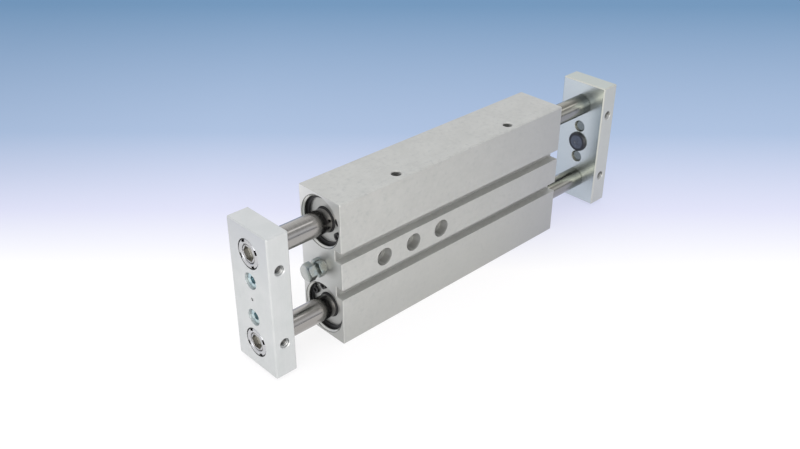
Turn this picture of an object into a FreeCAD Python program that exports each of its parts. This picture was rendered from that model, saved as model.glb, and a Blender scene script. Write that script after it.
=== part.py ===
import FreeCAD, Part
import os
import re
import Sketcher

# Guided pneumatic cylinder with two pistons, in millimetres.
# X runs along the rods from the front plate to the rear plate, Y across the narrow housing and Z up.
# The origin is the middle of the housing's underside, and the grooved side of the housing faces -Y.

SIZES = {
    "Housing": {
        "housing_length": 135.0,
        "rod_spacing": 41.0,
        "bore_diameter": 20.0,
        "side_wall": 1.9,
        "end_wall": 1.9,
        "edge_radius": 0.8,
        "mouth_depth": 1.0,
        "end_chamfer": 0.25,
        "slot_spacing": 17.2,
        "slot_width": 4.7,
        "slot_depth": 4.0,
        "side_hole_start": 23.0,
        "side_hole_pitch": 16.5,
        "side_hole_diameter": 4.5,
        "side_seat_diameter": 8.0,
        "side_seat_depth": 4.4,
        "port_inset": 33.5,
        "port_offset": 8.1,
        "port_diameter": 4.2,
        "port_depth": 4.4,
        "port_chamfer": 0.3,
        "port_passage_diameter": 2.0,
        "link_diameter": 2.5,
        "plug_diameter": 3.0,
        "plug_length": 2.0,
        "plug_recess": 0.1,
        "stop_hole_depth": 18.0,
    },
    "Bore ends": {
        "cap_seat_step": 0.6,
        "circlip_setback": 2.0,
        "circlip_thickness": 1.0,
        "circlip_play": 0.1,
        "circlip_groove_depth": 0.5,
        "circlip_radial_gap": 0.05,
        "circlip_band": 1.5,
        "circlip_offset": 0.15,
        "circlip_gap": 3.0,
        "lug_diameter": 3.4,
        "lug_inset": 0.5,
        "lug_hole_diameter": 1.8,
        "lug_half_spacing": 3.5,
        "upper_lug_turn": 98.0,
        "lower_lug_turn": -42.0,
        "cap_fit": 0.02,
        "cap_chamfer": 0.4,
        "cap_bore_gap": 0.3,
        "wiper_mouth_diameter": 11.2,
        "wiper_cover": 0.5,
        "wiper_seat_diameter": 13.2,
        "wiper_seat_depth": 3.0,
        "wiper_lip": 0.5,
        "wiper_lip_wall": 0.4,
        "seal_wall": 1.0,
        "seal_seat_diameter": 15.2,
        "seal_seat_length": 3.2,
        "seal_notch": 1.4,
        "bush_wall": 1.8,
        "bush_length": 17.0,
        "bush_diameter": 13.0,
        "ring_groove_inset": 4.6,
        "ring_groove_width": 2.4,
        "ring_thickness": 1.8,
    },
    "Fits": {
        "seat_gap": 0.02,
        "rod_clearance": 0.03,
        "piston_clearance": 0.06,
        "thread_clearance": 0.05,
    },
    "Rods and pistons": {
        "rod_diameter": 10.0,
        "rod_chamfer": 0.4,
        "stud_diameter": 8.0,
        "stud_recess": 0.3,
        "stud_wall": 0.6,
        "stud_socket_depth": 2.2,
        "piston_shift": 4.8,
        "piston_land": 10.0,
        "piston_shoulder_length": 3.0,
        "piston_shoulder_diameter": 16.0,
        "piston_seal_inset": 0.8,
        "piston_seal_width": 2.0,
        "piston_seal_depth": 2.3,
        "magnet_width": 3.0,
        "magnet_depth": 2.1,
        "magnet_inset": 0.3,
        "inner_ring_thickness": 1.4,
        "inner_ring_width": 2.0,
        "clip_thickness": 1.0,
        "clip_groove_depth": 0.25,
        "clip_band": 2.2,
        "clip_gap": 3.0,
    },
    "End plates": {
        "front_gap": 24.3,
        "rear_gap": 33.7,
        "plate_thickness": 10.0,
        "plate_side_setback": 0.1,
        "plate_end_setback": 1.0,
        "plate_chamfer": 0.5,
        "nut_diameter": 12.0,
        "nut_length": 4.8,
        "nut_seat_gap": 0.35,
        "nut_chamfer": 0.3,
        "nut_notch_width": 2.0,
        "nut_notch_depth": 1.1,
        "nut_notch_length": 4.3,
        "nut_turn": 28.0,
        "plate_screw_wall": 0.4,
        "plate_screw_diameter": 6.0,
        "plate_screw_length": 8.0,
        "plate_screw_recess": 1.0,
        "plate_screw_head_diameter": 7.2,
        "plate_screw_head_length": 4.0,
        "plate_screw_socket": 3.0,
        "plate_screw_socket_depth": 3.0,
        "plate_screw_chamfer": 0.6,
        "plate_side_spacing": 33.5,
        "plate_side_diameter": 4.2,
        "plate_side_depth": 5.4,
        "plate_side_chamfer": 0.35,
        "bumper_diameter": 10.0,
        "bumper_seat_depth": 2.0,
        "bumper_projection": 1.3,
        "bumper_round": 0.5,
        "bumper_dimple_diameter": 3.0,
        "bumper_dimple_depth": 0.4,
        "vent_diameter": 1.5,
    },
    "Stop screw": {
        "screw_diameter": 4.0,
        "screw_shank_length": 20.0,
        "hex_across": 7.0,
        "screw_head_height": 3.3,
        "screw_head_gap": 1.7,
        "lock_nut_height": 3.5,
        "hex_face_diameter": 6.5,
        "hex_chamfer_angle": 30.0,
    },
}

# Places worked out from the sizes above.
PLACES = {
    "front_face": "-housing_length / 2",
    "rear_face": "housing_length / 2",
    "front_plate_inner": "front_face - front_gap",
    "rear_plate_inner": "rear_face + rear_gap",
    "cap_seat_radius": "bore_diameter / 2 + cap_seat_step",
    "housing_width": "2 * (cap_seat_radius + side_wall)",
    "housing_height": "rod_spacing + 2 * (cap_seat_radius + end_wall)",
    "mid_height": "housing_height / 2",
    "upper_rod": "mid_height + rod_spacing / 2",
    "lower_rod": "mid_height - rod_spacing / 2",
    "groove_radius": "cap_seat_radius + circlip_groove_depth",
    "circlip_radius": "groove_radius - circlip_radial_gap",
    "lug_reach": "circlip_radius - lug_inset - lug_diameter / 2",
    "lug_height": "sqrt(lug_reach ^ 2 - lug_half_spacing ^ 2)",
    "cap_start": "circlip_setback + circlip_thickness",
    "cap_radius": "cap_seat_radius - cap_fit",
    "cap_bore_radius": "rod_diameter / 2 + cap_bore_gap",
    "wiper_seat_start": "cap_start + wiper_cover",
    "wiper_seat_end": "cap_start + wiper_seat_depth",
    "seal_start": "wiper_seat_end + seal_wall",
    "seal_end": "seal_start + seal_seat_length",
    "bush_start": "seal_end + bush_wall",
    "cap_end": "bush_start + bush_length",
    "ring_groove_end": "cap_end - ring_groove_inset",
    "ring_groove_start": "ring_groove_end - ring_groove_width",
    "ring_floor_radius": "cap_radius - ring_thickness - seat_gap",
    "sliding_radius": "rod_diameter / 2 + rod_clearance",
    "piston_radius": "bore_diameter / 2 - piston_clearance",
    "stud_socket": "(stud_diameter - 2 * stud_wall) * cos(30 deg)",
    "piston_half_land": "piston_land / 2",
    "piston_half_length": "piston_half_land + piston_shoulder_length",
    "piston_seal_end": "piston_half_land - piston_seal_inset",
    "piston_seal_start": "piston_seal_end - piston_seal_width",
    "piston_bore_radius": "rod_diameter / 2 + seat_gap",
    "inner_ring_floor": "piston_bore_radius + inner_ring_thickness",
    "piston_seal_floor": "piston_radius - piston_seal_depth",
    "magnet_floor": "piston_radius - magnet_depth",
    "clip_seat_radius": "rod_diameter / 2 - clip_groove_depth",
    "plate_width": "housing_width - 2 * plate_side_setback",
    "plate_height": "housing_height - 2 * plate_end_setback",
    "plate_screw_height": "(bumper_diameter + plate_screw_diameter) / 2 + plate_screw_wall",
    "screw_head_start": "-lock_nut_height - screw_head_gap",
    "screw_head_end": "screw_head_start - screw_head_height",
}

ENDS = ("front", "rear")
LEVELS = ("upper", "lower")
HEX_SIDES = 6
NUT_NOTCHES = 4
SIDE_HOLES = 3
FULL_TURN = 360
NAME = re.compile(r"[a-z_]+[a-z]")
# Two places closer than this are one.
TOUCH = 0.01

doc = FreeCAD.newDocument("GuidedCylinder")
sheet = doc.addObject("Spreadsheet::Sheet", "Sizes")
nodes = []


def fill_sheet():
    """One row for each size: its name, its value and, at each group's start, a heading."""
    row = 1
    for heading, sizes in SIZES.items():
        sheet.set(f"A{row}", heading)
        row += 1
        for alias, number in sizes.items():
            sheet.set(f"A{row}", alias)
            sheet.set(f"B{row}", str(number))
            sheet.setAlias(f"B{row}", alias)
            row += 1
    doc.recompute()


def size(alias):
    """The sheet's value of one size."""
    return float(sheet.get(alias))


def formula(text):
    """The text with places worked out and each size read from the sheet."""
    text = str(text)

    def swap(match):
        word = match.group(0)
        if word in PLACES:
            return "(" + formula(PLACES[word]) + ")"
        if any(word in sizes for sizes in SIZES.values()):
            return "Sizes." + word
        return word

    return NAME.sub(swap, text)


def bind(item, **properties):
    """Tie properties of an object to formulas. Two underscores stand for a dot."""
    for name, text in properties.items():
        item.setExpression(name.replace("__", "."), formula(text))


def place(item, along="0", across="0", height="0", turn=None):
    """Put an object at a place given by three formulas, turned if a rotation is given."""
    if turn is not None:
        item.Placement = FreeCAD.Placement(FreeCAD.Vector(), turn)
    bind(item, Placement__Base__x=along, Placement__Base__y=across, Placement__Base__z=height)


def keep(item, label):
    """Give a finished sub-part its label and put it on the list of nodes."""
    item.Label = label
    nodes.append(item)
    return item


def new_body(label):
    return doc.addObject("PartDesign::Body", label + "_body")


def new_sketch(body, plane, offset=None):
    """A sketch on one of the body's own origin planes, moved along its normal by a formula."""
    sketch = body.newObject("Sketcher::SketchObject", body.Name + "_sketch")
    support = [item for item in body.Origin.OriginFeatures if item.Role == plane][0]
    sketch.AttachmentSupport = [(support, "")]
    sketch.MapMode = "FlatFace"
    if offset is not None:
        bind(sketch, AttachmentOffset__Base__z=offset)
    return sketch


def fix_point(sketch, geometry, point, right, up):
    """Hold one point of a sketch at two formulas, measured from the sketch's origin."""
    for kind, text in (("DistanceX", right), ("DistanceY", up)):
        number = sketch.addConstraint(Sketcher.Constraint(kind, -1, 1, geometry, point, 1.0))
        sketch.setExpression(f"Constraints[{number}]", formula(text))


def draw_outline(sketch, corners):
    """A closed outline of straight lines through corners given as pairs of formulas."""
    start = FreeCAD.Vector(len(corners), 0, 0)
    step = FreeCAD.Rotation(FreeCAD.Vector(0, 0, 1), FULL_TURN / len(corners))
    points = [start]
    for _ in corners[1:]:
        points.append(step.multVec(points[-1]))
    first = sketch.GeometryCount
    for index, point in enumerate(points):
        following = points[(index + 1) % len(points)]
        sketch.addGeometry(Part.LineSegment(point, following), False)
    for index in range(len(corners)):
        following = (index + 1) % len(corners)
        sketch.addConstraint(Sketcher.Constraint("Coincident", first + index, 2, first + following, 1))
    for index, (right, up) in enumerate(corners):
        fix_point(sketch, first + index, 1, right, up)


def draw_circle(sketch, right, up, diameter):
    """A circle whose centre and diameter are formulas."""
    normal = FreeCAD.Vector(0, 0, 1)
    index = sketch.addGeometry(Part.Circle(FreeCAD.Vector(), normal, 1.0), False)
    number = sketch.addConstraint(Sketcher.Constraint("Diameter", index, 2.0))
    sketch.setExpression(f"Constraints[{number}]", formula(diameter))
    fix_point(sketch, index, 3, right, up)


def hexagon(across):
    """The six corners of a hexagon whose flats are this far apart."""
    corners = []
    for index in range(HEX_SIDES):
        angle = index * FULL_TURN / HEX_SIDES
        reach = f"{across} / 2 / cos(30 deg)"
        corners.append((f"{reach} * cos({angle} deg)", f"{reach} * sin({angle} deg)"))
    return corners


def pad(body, sketch, length, both_ways=False, backwards=False):
    feature = body.newObject("PartDesign::Pad", body.Name + "_pad")
    feature.Profile = sketch
    if both_ways:
        feature.SideType = "Symmetric"
    feature.Reversed = backwards
    bind(feature, Length=length)
    doc.recompute()
    return feature


def pocket(body, sketch, length=None, backwards=False):
    """A cut from the sketch, against its normal unless backwards, or right through both ways."""
    before = body.Shape.Volume
    feature = body.newObject("PartDesign::Pocket", body.Name + "_pocket")
    feature.Profile = sketch
    feature.Reversed = backwards
    if length is None:
        feature.SideType = "Symmetric"
        feature.Type = "ThroughAll"
    else:
        bind(feature, Length=length)
    doc.recompute()
    if not body.Shape.Volume < before:
        raise RuntimeError(feature.Name + " cuts nothing")
    return feature


def revolve(body, sketch, cut=False):
    """A full turn of the sketch about its own horizontal axis."""
    before = body.Shape.Volume if cut else 0
    kind = "Groove" if cut else "Revolution"
    feature = body.newObject("PartDesign::" + kind, body.Name + "_turned")
    feature.Profile = sketch
    feature.ReferenceAxis = (sketch, ["H_Axis"])
    feature.Angle = FULL_TURN
    doc.recompute()
    if cut and not body.Shape.Volume < before:
        raise RuntimeError(feature.Name + " cuts nothing")
    return feature


def soften(body, kind, test, length):
    """A fillet or chamfer of the body's edges whose own box passes the test against the body's box."""
    base = body.Tip
    whole = base.Shape.BoundBox
    edges = []
    for number, edge in enumerate(base.Shape.Edges):
        if test(edge.BoundBox, whole):
            edges.append(f"Edge{number + 1}")
    feature = body.newObject("PartDesign::" + kind, body.Name + "_soft")
    feature.Base = (base, edges)
    if kind == "Fillet":
        bind(feature, Radius=length)
    else:
        bind(feature, Size=length)
    doc.recompute()
    return feature


def turned_part(label, corners):
    """A ring or shaft about its own X axis, from corners given as places along it and radii."""
    body = new_body(label)
    sketch = new_sketch(body, "XY_Plane")
    draw_outline(sketch, corners)
    revolve(body, sketch)
    return body


def about_x(degrees):
    return FreeCAD.Rotation(FreeCAD.Vector(1, 0, 0), degrees)


def facing(end):
    """Pieces of the rear end are those of the front end turned half way round."""
    half_turn = 0 if end == "front" else FULL_TURN / 2
    return FreeCAD.Rotation(FreeCAD.Vector(0, 0, 1), half_turn)


def place_in_bore(item, end, level, turn=0):
    """Set a piece that is drawn from the housing's face inwards into one end of one bore."""
    place(item, f"{end}_face", "0", f"{level}_rod", facing(end) * about_x(turn))


# Housing

def housing_section(body):
    """The extruded section: a block with two bores and two sensor slots in its -Y side."""
    sketch = new_sketch(body, "YZ_Plane")
    side = "-housing_width / 2"
    floor = "-housing_width / 2 + slot_depth"
    corners = [
        (side, "0"),
        ("housing_width / 2", "0"),
        ("housing_width / 2", "housing_height"),
        (side, "housing_height"),
    ]
    for sign in ("+", "-"):
        top = f"mid_height {sign} slot_spacing / 2 + slot_width / 2"
        bottom = f"mid_height {sign} slot_spacing / 2 - slot_width / 2"
        corners += [(side, top), (floor, top), (floor, bottom), (side, bottom)]
    draw_outline(sketch, corners)
    for level in LEVELS:
        draw_circle(sketch, "0", f"{level}_rod", "bore_diameter")
    pad(body, sketch, "housing_length", both_ways=True)


def is_outer_long_edge(edge, whole):
    """True for the four long edges at the corners of the housing."""
    at_side = abs(edge.Center.y) > whole.YMax - TOUCH
    at_end = abs(edge.Center.z - whole.Center.z) > whole.ZLength / 2 - TOUCH
    return at_side and at_end


def is_end_edge(edge, whole):
    """True for the edges round both end faces, but not for the bores'."""
    at_end = abs(edge.Center.x) > whole.XMax - TOUCH
    is_bore = abs(edge.Center.y) < TOUCH and abs(edge.YLength - edge.ZLength) < TOUCH
    return at_end and not is_bore


def bore_mouths(body, level):
    """The lead-in chamfer, the circlip groove and the cap's seat at both ends of one bore."""
    sketch = new_sketch(body, "XY_Plane", f"{level}_rod")
    inside = "bore_diameter / 2 - mouth_depth"
    mouth = "cap_seat_radius + mouth_depth"
    for sign, face in (("+", "front_face"), ("-", "rear_face")):
        groove_start = f"{face} {sign} circlip_setback"
        groove_end = f"{groove_start} {sign} (circlip_thickness + circlip_play)"
        seat_end = f"{face} {sign} (cap_end + seat_gap)"
        draw_outline(sketch, [
            (face, inside),
            (face, mouth),
            (f"{face} {sign} mouth_depth", "cap_seat_radius"),
            (groove_start, "cap_seat_radius"),
            (groove_start, "groove_radius"),
            (groove_end, "groove_radius"),
            (groove_end, "cap_seat_radius"),
            (seat_end, "cap_seat_radius"),
            (seat_end, inside),
        ])
    revolve(body, sketch, cut=True)


def side_holes(body):
    """Counterbored mounting holes across the housing, at mid height."""
    places = [f"front_face + side_hole_start + {index} * side_hole_pitch" for index in range(SIDE_HOLES)]
    through = new_sketch(body, "XZ_Plane")
    for along in places:
        draw_circle(through, along, "mid_height", "side_hole_diameter")
    pocket(body, through)
    for sign, backwards in (("", False), ("-", True)):
        seat = new_sketch(body, "XZ_Plane", f"{sign}housing_width / 2")
        for along in places:
            draw_circle(seat, along, "mid_height", "side_seat_diameter")
        pocket(body, seat, "side_seat_depth", backwards)


def air_ports(body):
    """Two ports in the top, each with a narrow passage down into the upper bore."""
    stages = (("port_diameter", "port_depth"), ("port_passage_diameter", "housing_height - upper_rod"))
    for diameter, depth in stages:
        sketch = new_sketch(body, "XY_Plane", "housing_height")
        for sign in ("-", ""):
            draw_circle(sketch, f"{sign}(housing_length / 2 - port_inset)", "-port_offset", diameter)
        pocket(body, sketch, depth)
        if diameter == "port_diameter":
            soften(body, "Chamfer", is_port_rim, "port_chamfer")


def is_port_rim(edge, whole):
    """True for the round edges of the ports in the housing's top."""
    at_top = edge.ZMin > whole.ZMax - TOUCH
    as_wide_as_long = abs(edge.XLength - edge.YLength) < TOUCH
    return at_top and as_wide_as_long


def bore_links(body):
    """Drillings from the underside that join the two bores beside each port, with plug seats."""
    stages = (
        ("link_diameter", "upper_rod - bore_diameter / 4"),
        ("plug_diameter + 2 * seat_gap", "plug_recess + plug_length"),
    )
    for diameter, depth in stages:
        sketch = new_sketch(body, "XY_Plane")
        for sign in ("-", ""):
            draw_circle(sketch, f"{sign}(housing_length / 2 - port_inset)", "0", diameter)
        pocket(body, sketch, depth, backwards=True)


def make_housing():
    body = new_body("housing")
    housing_section(body)
    soften(body, "Fillet", is_outer_long_edge, "edge_radius")
    soften(body, "Chamfer", is_end_edge, "end_chamfer")
    for level in LEVELS:
        bore_mouths(body, level)
    side_holes(body)
    air_ports(body)
    bore_links(body)
    stop_hole = new_sketch(body, "YZ_Plane", "front_face")
    draw_circle(stop_hole, "0", "mid_height", "screw_diameter")
    pocket(body, stop_hole, "stop_hole_depth", backwards=True)
    keep(body, "housing")


def make_plugs():
    """Plugs that close the link drillings, just inside the underside."""
    plugs = []
    for sign in ("-", ""):
        plug = doc.addObject("Part::Cylinder", "plug")
        bind(plug, Radius="plug_diameter / 2", Height="plug_length")
        place(plug, f"{sign}(housing_length / 2 - port_inset)", "0", "plug_recess")
        plugs.append(plug)
    group = doc.addObject("Part::Compound", "plugs")
    group.Links = plugs
    keep(group, "passage_plugs")


# Bore ends

def make_circlip(end, level):
    """An internal retaining ring, thicker opposite its gap, with a lug and hole at each tip."""
    body = new_body("circlip")
    ring = new_sketch(body, "YZ_Plane", "circlip_setback")
    draw_circle(ring, "0", "0", "2 * circlip_radius")
    draw_circle(ring, "0", "circlip_offset", "2 * (circlip_radius - circlip_band)")
    pad(body, ring, "circlip_thickness")
    lugs = new_sketch(body, "YZ_Plane", "circlip_setback")
    holes = new_sketch(body, "YZ_Plane", "circlip_setback")
    for sign in ("-", ""):
        draw_circle(lugs, f"{sign}lug_half_spacing", "lug_height", "lug_diameter")
        draw_circle(holes, f"{sign}lug_half_spacing", "lug_height", "lug_hole_diameter")
    pad(body, lugs, "circlip_thickness")
    draw_outline(holes, [
        ("-circlip_gap / 2", "lug_height - lug_diameter"),
        ("circlip_gap / 2", "lug_height - lug_diameter"),
        ("circlip_gap / 2", "2 * circlip_radius"),
        ("-circlip_gap / 2", "2 * circlip_radius"),
    ])
    pocket(body, holes)
    place_in_bore(body, end, level, size(f"{level}_lug_turn"))
    keep(body, f"circlip_{end}_{level}")


def make_cap(end, level):
    """The bearing cap: seats for the wiper, rod seal and bush inside, a ring groove outside."""
    body = turned_part("bearing_cap", [
        ("cap_start", "wiper_mouth_diameter / 2"),
        ("cap_start", "cap_radius - cap_chamfer"),
        ("cap_start + cap_chamfer", "cap_radius"),
        ("ring_groove_start", "cap_radius"),
        ("ring_groove_start", "ring_floor_radius"),
        ("ring_groove_end", "ring_floor_radius"),
        ("ring_groove_end", "cap_radius"),
        ("cap_end - cap_chamfer", "cap_radius"),
        ("cap_end", "cap_radius - cap_chamfer"),
        ("cap_end", "bush_diameter / 2"),
        ("bush_start", "bush_diameter / 2"),
        ("bush_start", "cap_bore_radius"),
        ("seal_end", "cap_bore_radius"),
        ("seal_end", "seal_seat_diameter / 2"),
        ("seal_start", "seal_seat_diameter / 2"),
        ("seal_start", "cap_bore_radius"),
        ("wiper_seat_end", "cap_bore_radius"),
        ("wiper_seat_end", "wiper_seat_diameter / 2"),
        ("wiper_seat_start", "wiper_seat_diameter / 2"),
        ("wiper_seat_start", "wiper_mouth_diameter / 2"),
    ])
    place_in_bore(body, end, level)
    keep(body, f"bearing_cap_{end}_{level}")


def make_bush(end, level):
    outer = "bush_diameter / 2 - seat_gap"
    body = turned_part("guide_bush", [
        ("bush_start", "sliding_radius"),
        ("bush_start", outer),
        ("cap_end", outer),
        ("cap_end", "sliding_radius"),
    ])
    place_in_bore(body, end, level)
    keep(body, f"guide_bush_{end}_{level}")


def make_wiper(end, level):
    """A ring held inside the cap, with a thin lip that reaches out along the rod."""
    outer = "wiper_seat_diameter / 2 - seat_gap"
    lip_root = "wiper_mouth_diameter / 2 - seat_gap"
    body = turned_part("wiper", [
        ("cap_start - wiper_lip", "sliding_radius"),
        ("cap_start - wiper_lip", "sliding_radius + wiper_lip_wall"),
        ("cap_start", lip_root),
        ("wiper_seat_start + seat_gap", lip_root),
        ("wiper_seat_start + seat_gap", outer),
        ("wiper_seat_end", outer),
        ("wiper_seat_end", "sliding_radius + wiper_lip_wall"),
        ("cap_start + wiper_lip", "sliding_radius + wiper_lip_wall"),
        ("cap_start", "sliding_radius"),
    ])
    place_in_bore(body, end, level)
    keep(body, f"wiper_{end}_{level}")


def make_rod_seal(end, level):
    """A lip seal whose notch opens towards the air."""
    outer = "seal_seat_diameter / 2 - seat_gap"
    middle = "(seal_seat_diameter / 2 + sliding_radius) / 2"
    body = turned_part("rod_seal", [
        ("seal_start", "sliding_radius"),
        ("seal_start", outer),
        ("seal_end", outer),
        ("seal_end - seal_notch", middle),
        ("seal_end", "sliding_radius"),
    ])
    place_in_bore(body, end, level)
    keep(body, f"rod_seal_{end}_{level}")


def make_cap_ring(end, level):
    """A square-cut sealing ring in the cap's outer groove."""
    body = turned_part("cap_seal_ring", [
        ("ring_groove_start + seat_gap", "ring_floor_radius + seat_gap"),
        ("ring_groove_start + seat_gap", "cap_radius"),
        ("ring_groove_end - seat_gap", "cap_radius"),
        ("ring_groove_end - seat_gap", "ring_floor_radius + seat_gap"),
    ])
    place_in_bore(body, end, level)
    keep(body, f"cap_seal_ring_{end}_{level}")


# Rods and pistons

def socket(body, offset, across, depth, backwards):
    """A hexagon socket in a face that looks along X."""
    sketch = new_sketch(body, "YZ_Plane", offset)
    draw_outline(sketch, hexagon(across))
    pocket(body, sketch, depth, backwards)


def make_rod(level):
    """A rod right through the housing, with a stud, chamfers and a socket at each end."""
    front = "front_plate_inner - plate_thickness + stud_recess"
    rear = "rear_plate_inner + plate_thickness - stud_recess"
    clip_inner = "piston_half_length"
    clip_outer = "piston_half_length + clip_thickness + circlip_play"
    corners = [
        (front, "0"),
        (front, "stud_diameter / 2 - rod_chamfer"),
        (f"{front} + rod_chamfer", "stud_diameter / 2"),
        ("front_plate_inner", "stud_diameter / 2"),
        ("front_plate_inner", "rod_diameter / 2 - rod_chamfer"),
        ("front_plate_inner + rod_chamfer", "rod_diameter / 2"),
        (f"piston_shift - ({clip_outer})", "rod_diameter / 2"),
        (f"piston_shift - ({clip_outer})", "clip_seat_radius"),
        (f"piston_shift - ({clip_inner})", "clip_seat_radius"),
        (f"piston_shift - ({clip_inner})", "rod_diameter / 2"),
        (f"piston_shift + {clip_inner}", "rod_diameter / 2"),
        (f"piston_shift + {clip_inner}", "clip_seat_radius"),
        (f"piston_shift + {clip_outer}", "clip_seat_radius"),
        (f"piston_shift + {clip_outer}", "rod_diameter / 2"),
        ("rear_plate_inner - rod_chamfer", "rod_diameter / 2"),
        ("rear_plate_inner", "rod_diameter / 2 - rod_chamfer"),
        ("rear_plate_inner", "stud_diameter / 2"),
        (f"{rear} - rod_chamfer", "stud_diameter / 2"),
        (rear, "stud_diameter / 2 - rod_chamfer"),
        (rear, "0"),
    ]
    body = turned_part("piston_rod", corners)
    socket(body, front, "stud_socket", "stud_socket_depth", True)
    socket(body, rear, "stud_socket", "stud_socket_depth", False)
    place(body, "0", "0", f"{level}_rod")
    keep(body, f"piston_rod_{level}")


def make_piston(level):
    """A piston with two seal grooves, a magnet groove and a ring groove in its bore."""
    half = [
        ("piston_half_length", "piston_bore_radius"),
        ("piston_half_length", "piston_shoulder_diameter / 2"),
        ("piston_half_land", "piston_shoulder_diameter / 2"),
        ("piston_half_land", "piston_radius"),
        ("piston_seal_end", "piston_radius"),
        ("piston_seal_end", "piston_seal_floor"),
        ("piston_seal_start", "piston_seal_floor"),
        ("piston_seal_start", "piston_radius"),
        ("magnet_width / 2", "piston_radius"),
        ("magnet_width / 2", "magnet_floor"),
    ]
    mirrored = [(f"-({along})", radius) for along, radius in reversed(half)]
    bore = [
        ("-inner_ring_width / 2", "piston_bore_radius"),
        ("-inner_ring_width / 2", "inner_ring_floor"),
        ("inner_ring_width / 2", "inner_ring_floor"),
        ("inner_ring_width / 2", "piston_bore_radius"),
    ]
    body = turned_part("piston", half + mirrored + bore)
    place(body, "piston_shift", "0", f"{level}_rod")
    keep(body, f"piston_{level}")


def make_magnet(level):
    body = turned_part("piston_magnet", [
        ("-magnet_width / 2 + seat_gap", "magnet_floor + seat_gap"),
        ("-magnet_width / 2 + seat_gap", "piston_radius - magnet_inset"),
        ("magnet_width / 2 - seat_gap", "piston_radius - magnet_inset"),
        ("magnet_width / 2 - seat_gap", "magnet_floor + seat_gap"),
    ])
    place(body, "piston_shift", "0", f"{level}_rod")
    keep(body, f"piston_magnet_{level}")


def make_piston_seals(level):
    """One lip seal in each of the piston's two grooves."""
    seals = []
    outer = "bore_diameter / 2 - seat_gap"
    inner = "piston_seal_floor + seat_gap"
    for sign in ("", "-"):
        start = f"{sign}(piston_seal_start + seat_gap)"
        end = f"{sign}(piston_seal_end - seat_gap)"
        middle = f"{sign}(piston_seal_start + piston_seal_width / 2)"
        seal = turned_part("piston_seal", [
            (start, inner),
            (start, f"{outer} - piston_clearance"),
            (middle, outer),
            (end, f"{outer} - piston_clearance"),
            (end, inner),
        ])
        seals.append(seal)
    group = doc.addObject("Part::Compound", "piston_seals")
    group.Links = seals
    place(group, "piston_shift", "0", f"{level}_rod")
    keep(group, f"piston_seals_{level}")


def make_clips(level):
    """An open retaining ring in the rod's groove on each side of the piston."""
    clips = []
    for offset in ("piston_half_length", "-piston_half_length - clip_thickness"):
        body = new_body("piston_clip")
        ring = new_sketch(body, "YZ_Plane", offset)
        draw_circle(ring, "0", "0", "2 * (clip_seat_radius + clip_band)")
        draw_circle(ring, "0", "0", "2 * (clip_seat_radius + seat_gap)")
        pad(body, ring, "clip_thickness")
        gap = new_sketch(body, "YZ_Plane", offset)
        draw_outline(gap, [
            ("-clip_gap / 2", "0"),
            ("clip_gap / 2", "0"),
            ("clip_gap / 2", "rod_diameter"),
            ("-clip_gap / 2", "rod_diameter"),
        ])
        pocket(body, gap)
        clips.append(body)
    group = doc.addObject("Part::Compound", "piston_clips")
    group.Links = clips
    place(group, "piston_shift", "0", f"{level}_rod")
    keep(group, f"piston_clips_{level}")


def make_inner_ring(level):
    """A square-cut ring between the piston and its rod."""
    half = "inner_ring_width / 2 - seat_gap"
    body = turned_part("piston_inner_ring", [
        (f"-({half})", "piston_bore_radius"),
        (f"-({half})", "inner_ring_floor - seat_gap"),
        (half, "inner_ring_floor - seat_gap"),
        (half, "piston_bore_radius"),
    ])
    place(body, "piston_shift", "0", f"{level}_rod")
    keep(body, f"piston_inner_ring_{level}")


# End plates

def facing_plate(end):
    """Plates and their pieces are drawn from the inner face outwards, as at the rear end."""
    return facing("rear" if end == "front" else "front")


def place_on_plate(item, end, level_offset="0", turn=0):
    height = f"mid_height + {level_offset}"
    place(item, f"{end}_plate_inner", "0", height, facing_plate(end) * about_x(turn))


def make_plate(end):
    """The end plate: seats for nuts and screw heads, a bumper seat and side threads."""
    body = new_body("yoke_plate")
    block = new_sketch(body, "YZ_Plane")
    draw_outline(block, [
        ("-plate_width / 2", "-plate_height / 2"),
        ("plate_width / 2", "-plate_height / 2"),
        ("plate_width / 2", "plate_height / 2"),
        ("-plate_width / 2", "plate_height / 2"),
    ])
    pad(body, block, "plate_thickness")
    soften(body, "Chamfer", lambda edge, whole: True, "plate_chamfer")
    through = new_sketch(body, "YZ_Plane")
    seats = new_sketch(body, "YZ_Plane", "plate_thickness")
    head_seats = new_sketch(body, "YZ_Plane", "plate_thickness")
    for sign in ("", "-"):
        draw_circle(through, "0", f"{sign}rod_spacing / 2", "stud_diameter + 2 * thread_clearance")
        draw_circle(through, "0", f"{sign}plate_screw_height", "plate_screw_diameter")
        draw_circle(seats, "0", f"{sign}rod_spacing / 2", "nut_diameter + 2 * nut_seat_gap")
        draw_circle(head_seats, "0", f"{sign}plate_screw_height", "plate_screw_head_diameter")
    draw_circle(through, "0", "0", "vent_diameter")
    pocket(body, through)
    pocket(body, seats, "nut_length")
    pocket(body, head_seats, "plate_screw_recess + plate_screw_head_length + seat_gap")
    bumper_seat = new_sketch(body, "YZ_Plane")
    draw_circle(bumper_seat, "0", "0", "bumper_diameter + 2 * seat_gap")
    pocket(body, bumper_seat, "bumper_seat_depth", backwards=True)
    for side, backwards in (("", False), ("-", True)):
        threads = new_sketch(body, "XZ_Plane", f"{side}plate_width / 2")
        for sign in ("", "-"):
            draw_circle(threads, "plate_thickness / 2", f"{sign}plate_side_spacing / 2",
                        "plate_side_diameter")
        pocket(body, threads, "plate_side_depth", backwards)
    soften(body, "Chamfer", is_side_rim, "plate_side_chamfer")
    place_on_plate(body, end)
    keep(body, f"yoke_plate_{end}")


def is_side_rim(edge, whole):
    """True for the round edges of the threads in the plate's sides."""
    at_side = abs(edge.Center.y) > whole.YMax - TOUCH
    as_long_as_high = abs(edge.XLength - edge.ZLength) < TOUCH
    return at_side and as_long_as_high


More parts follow.
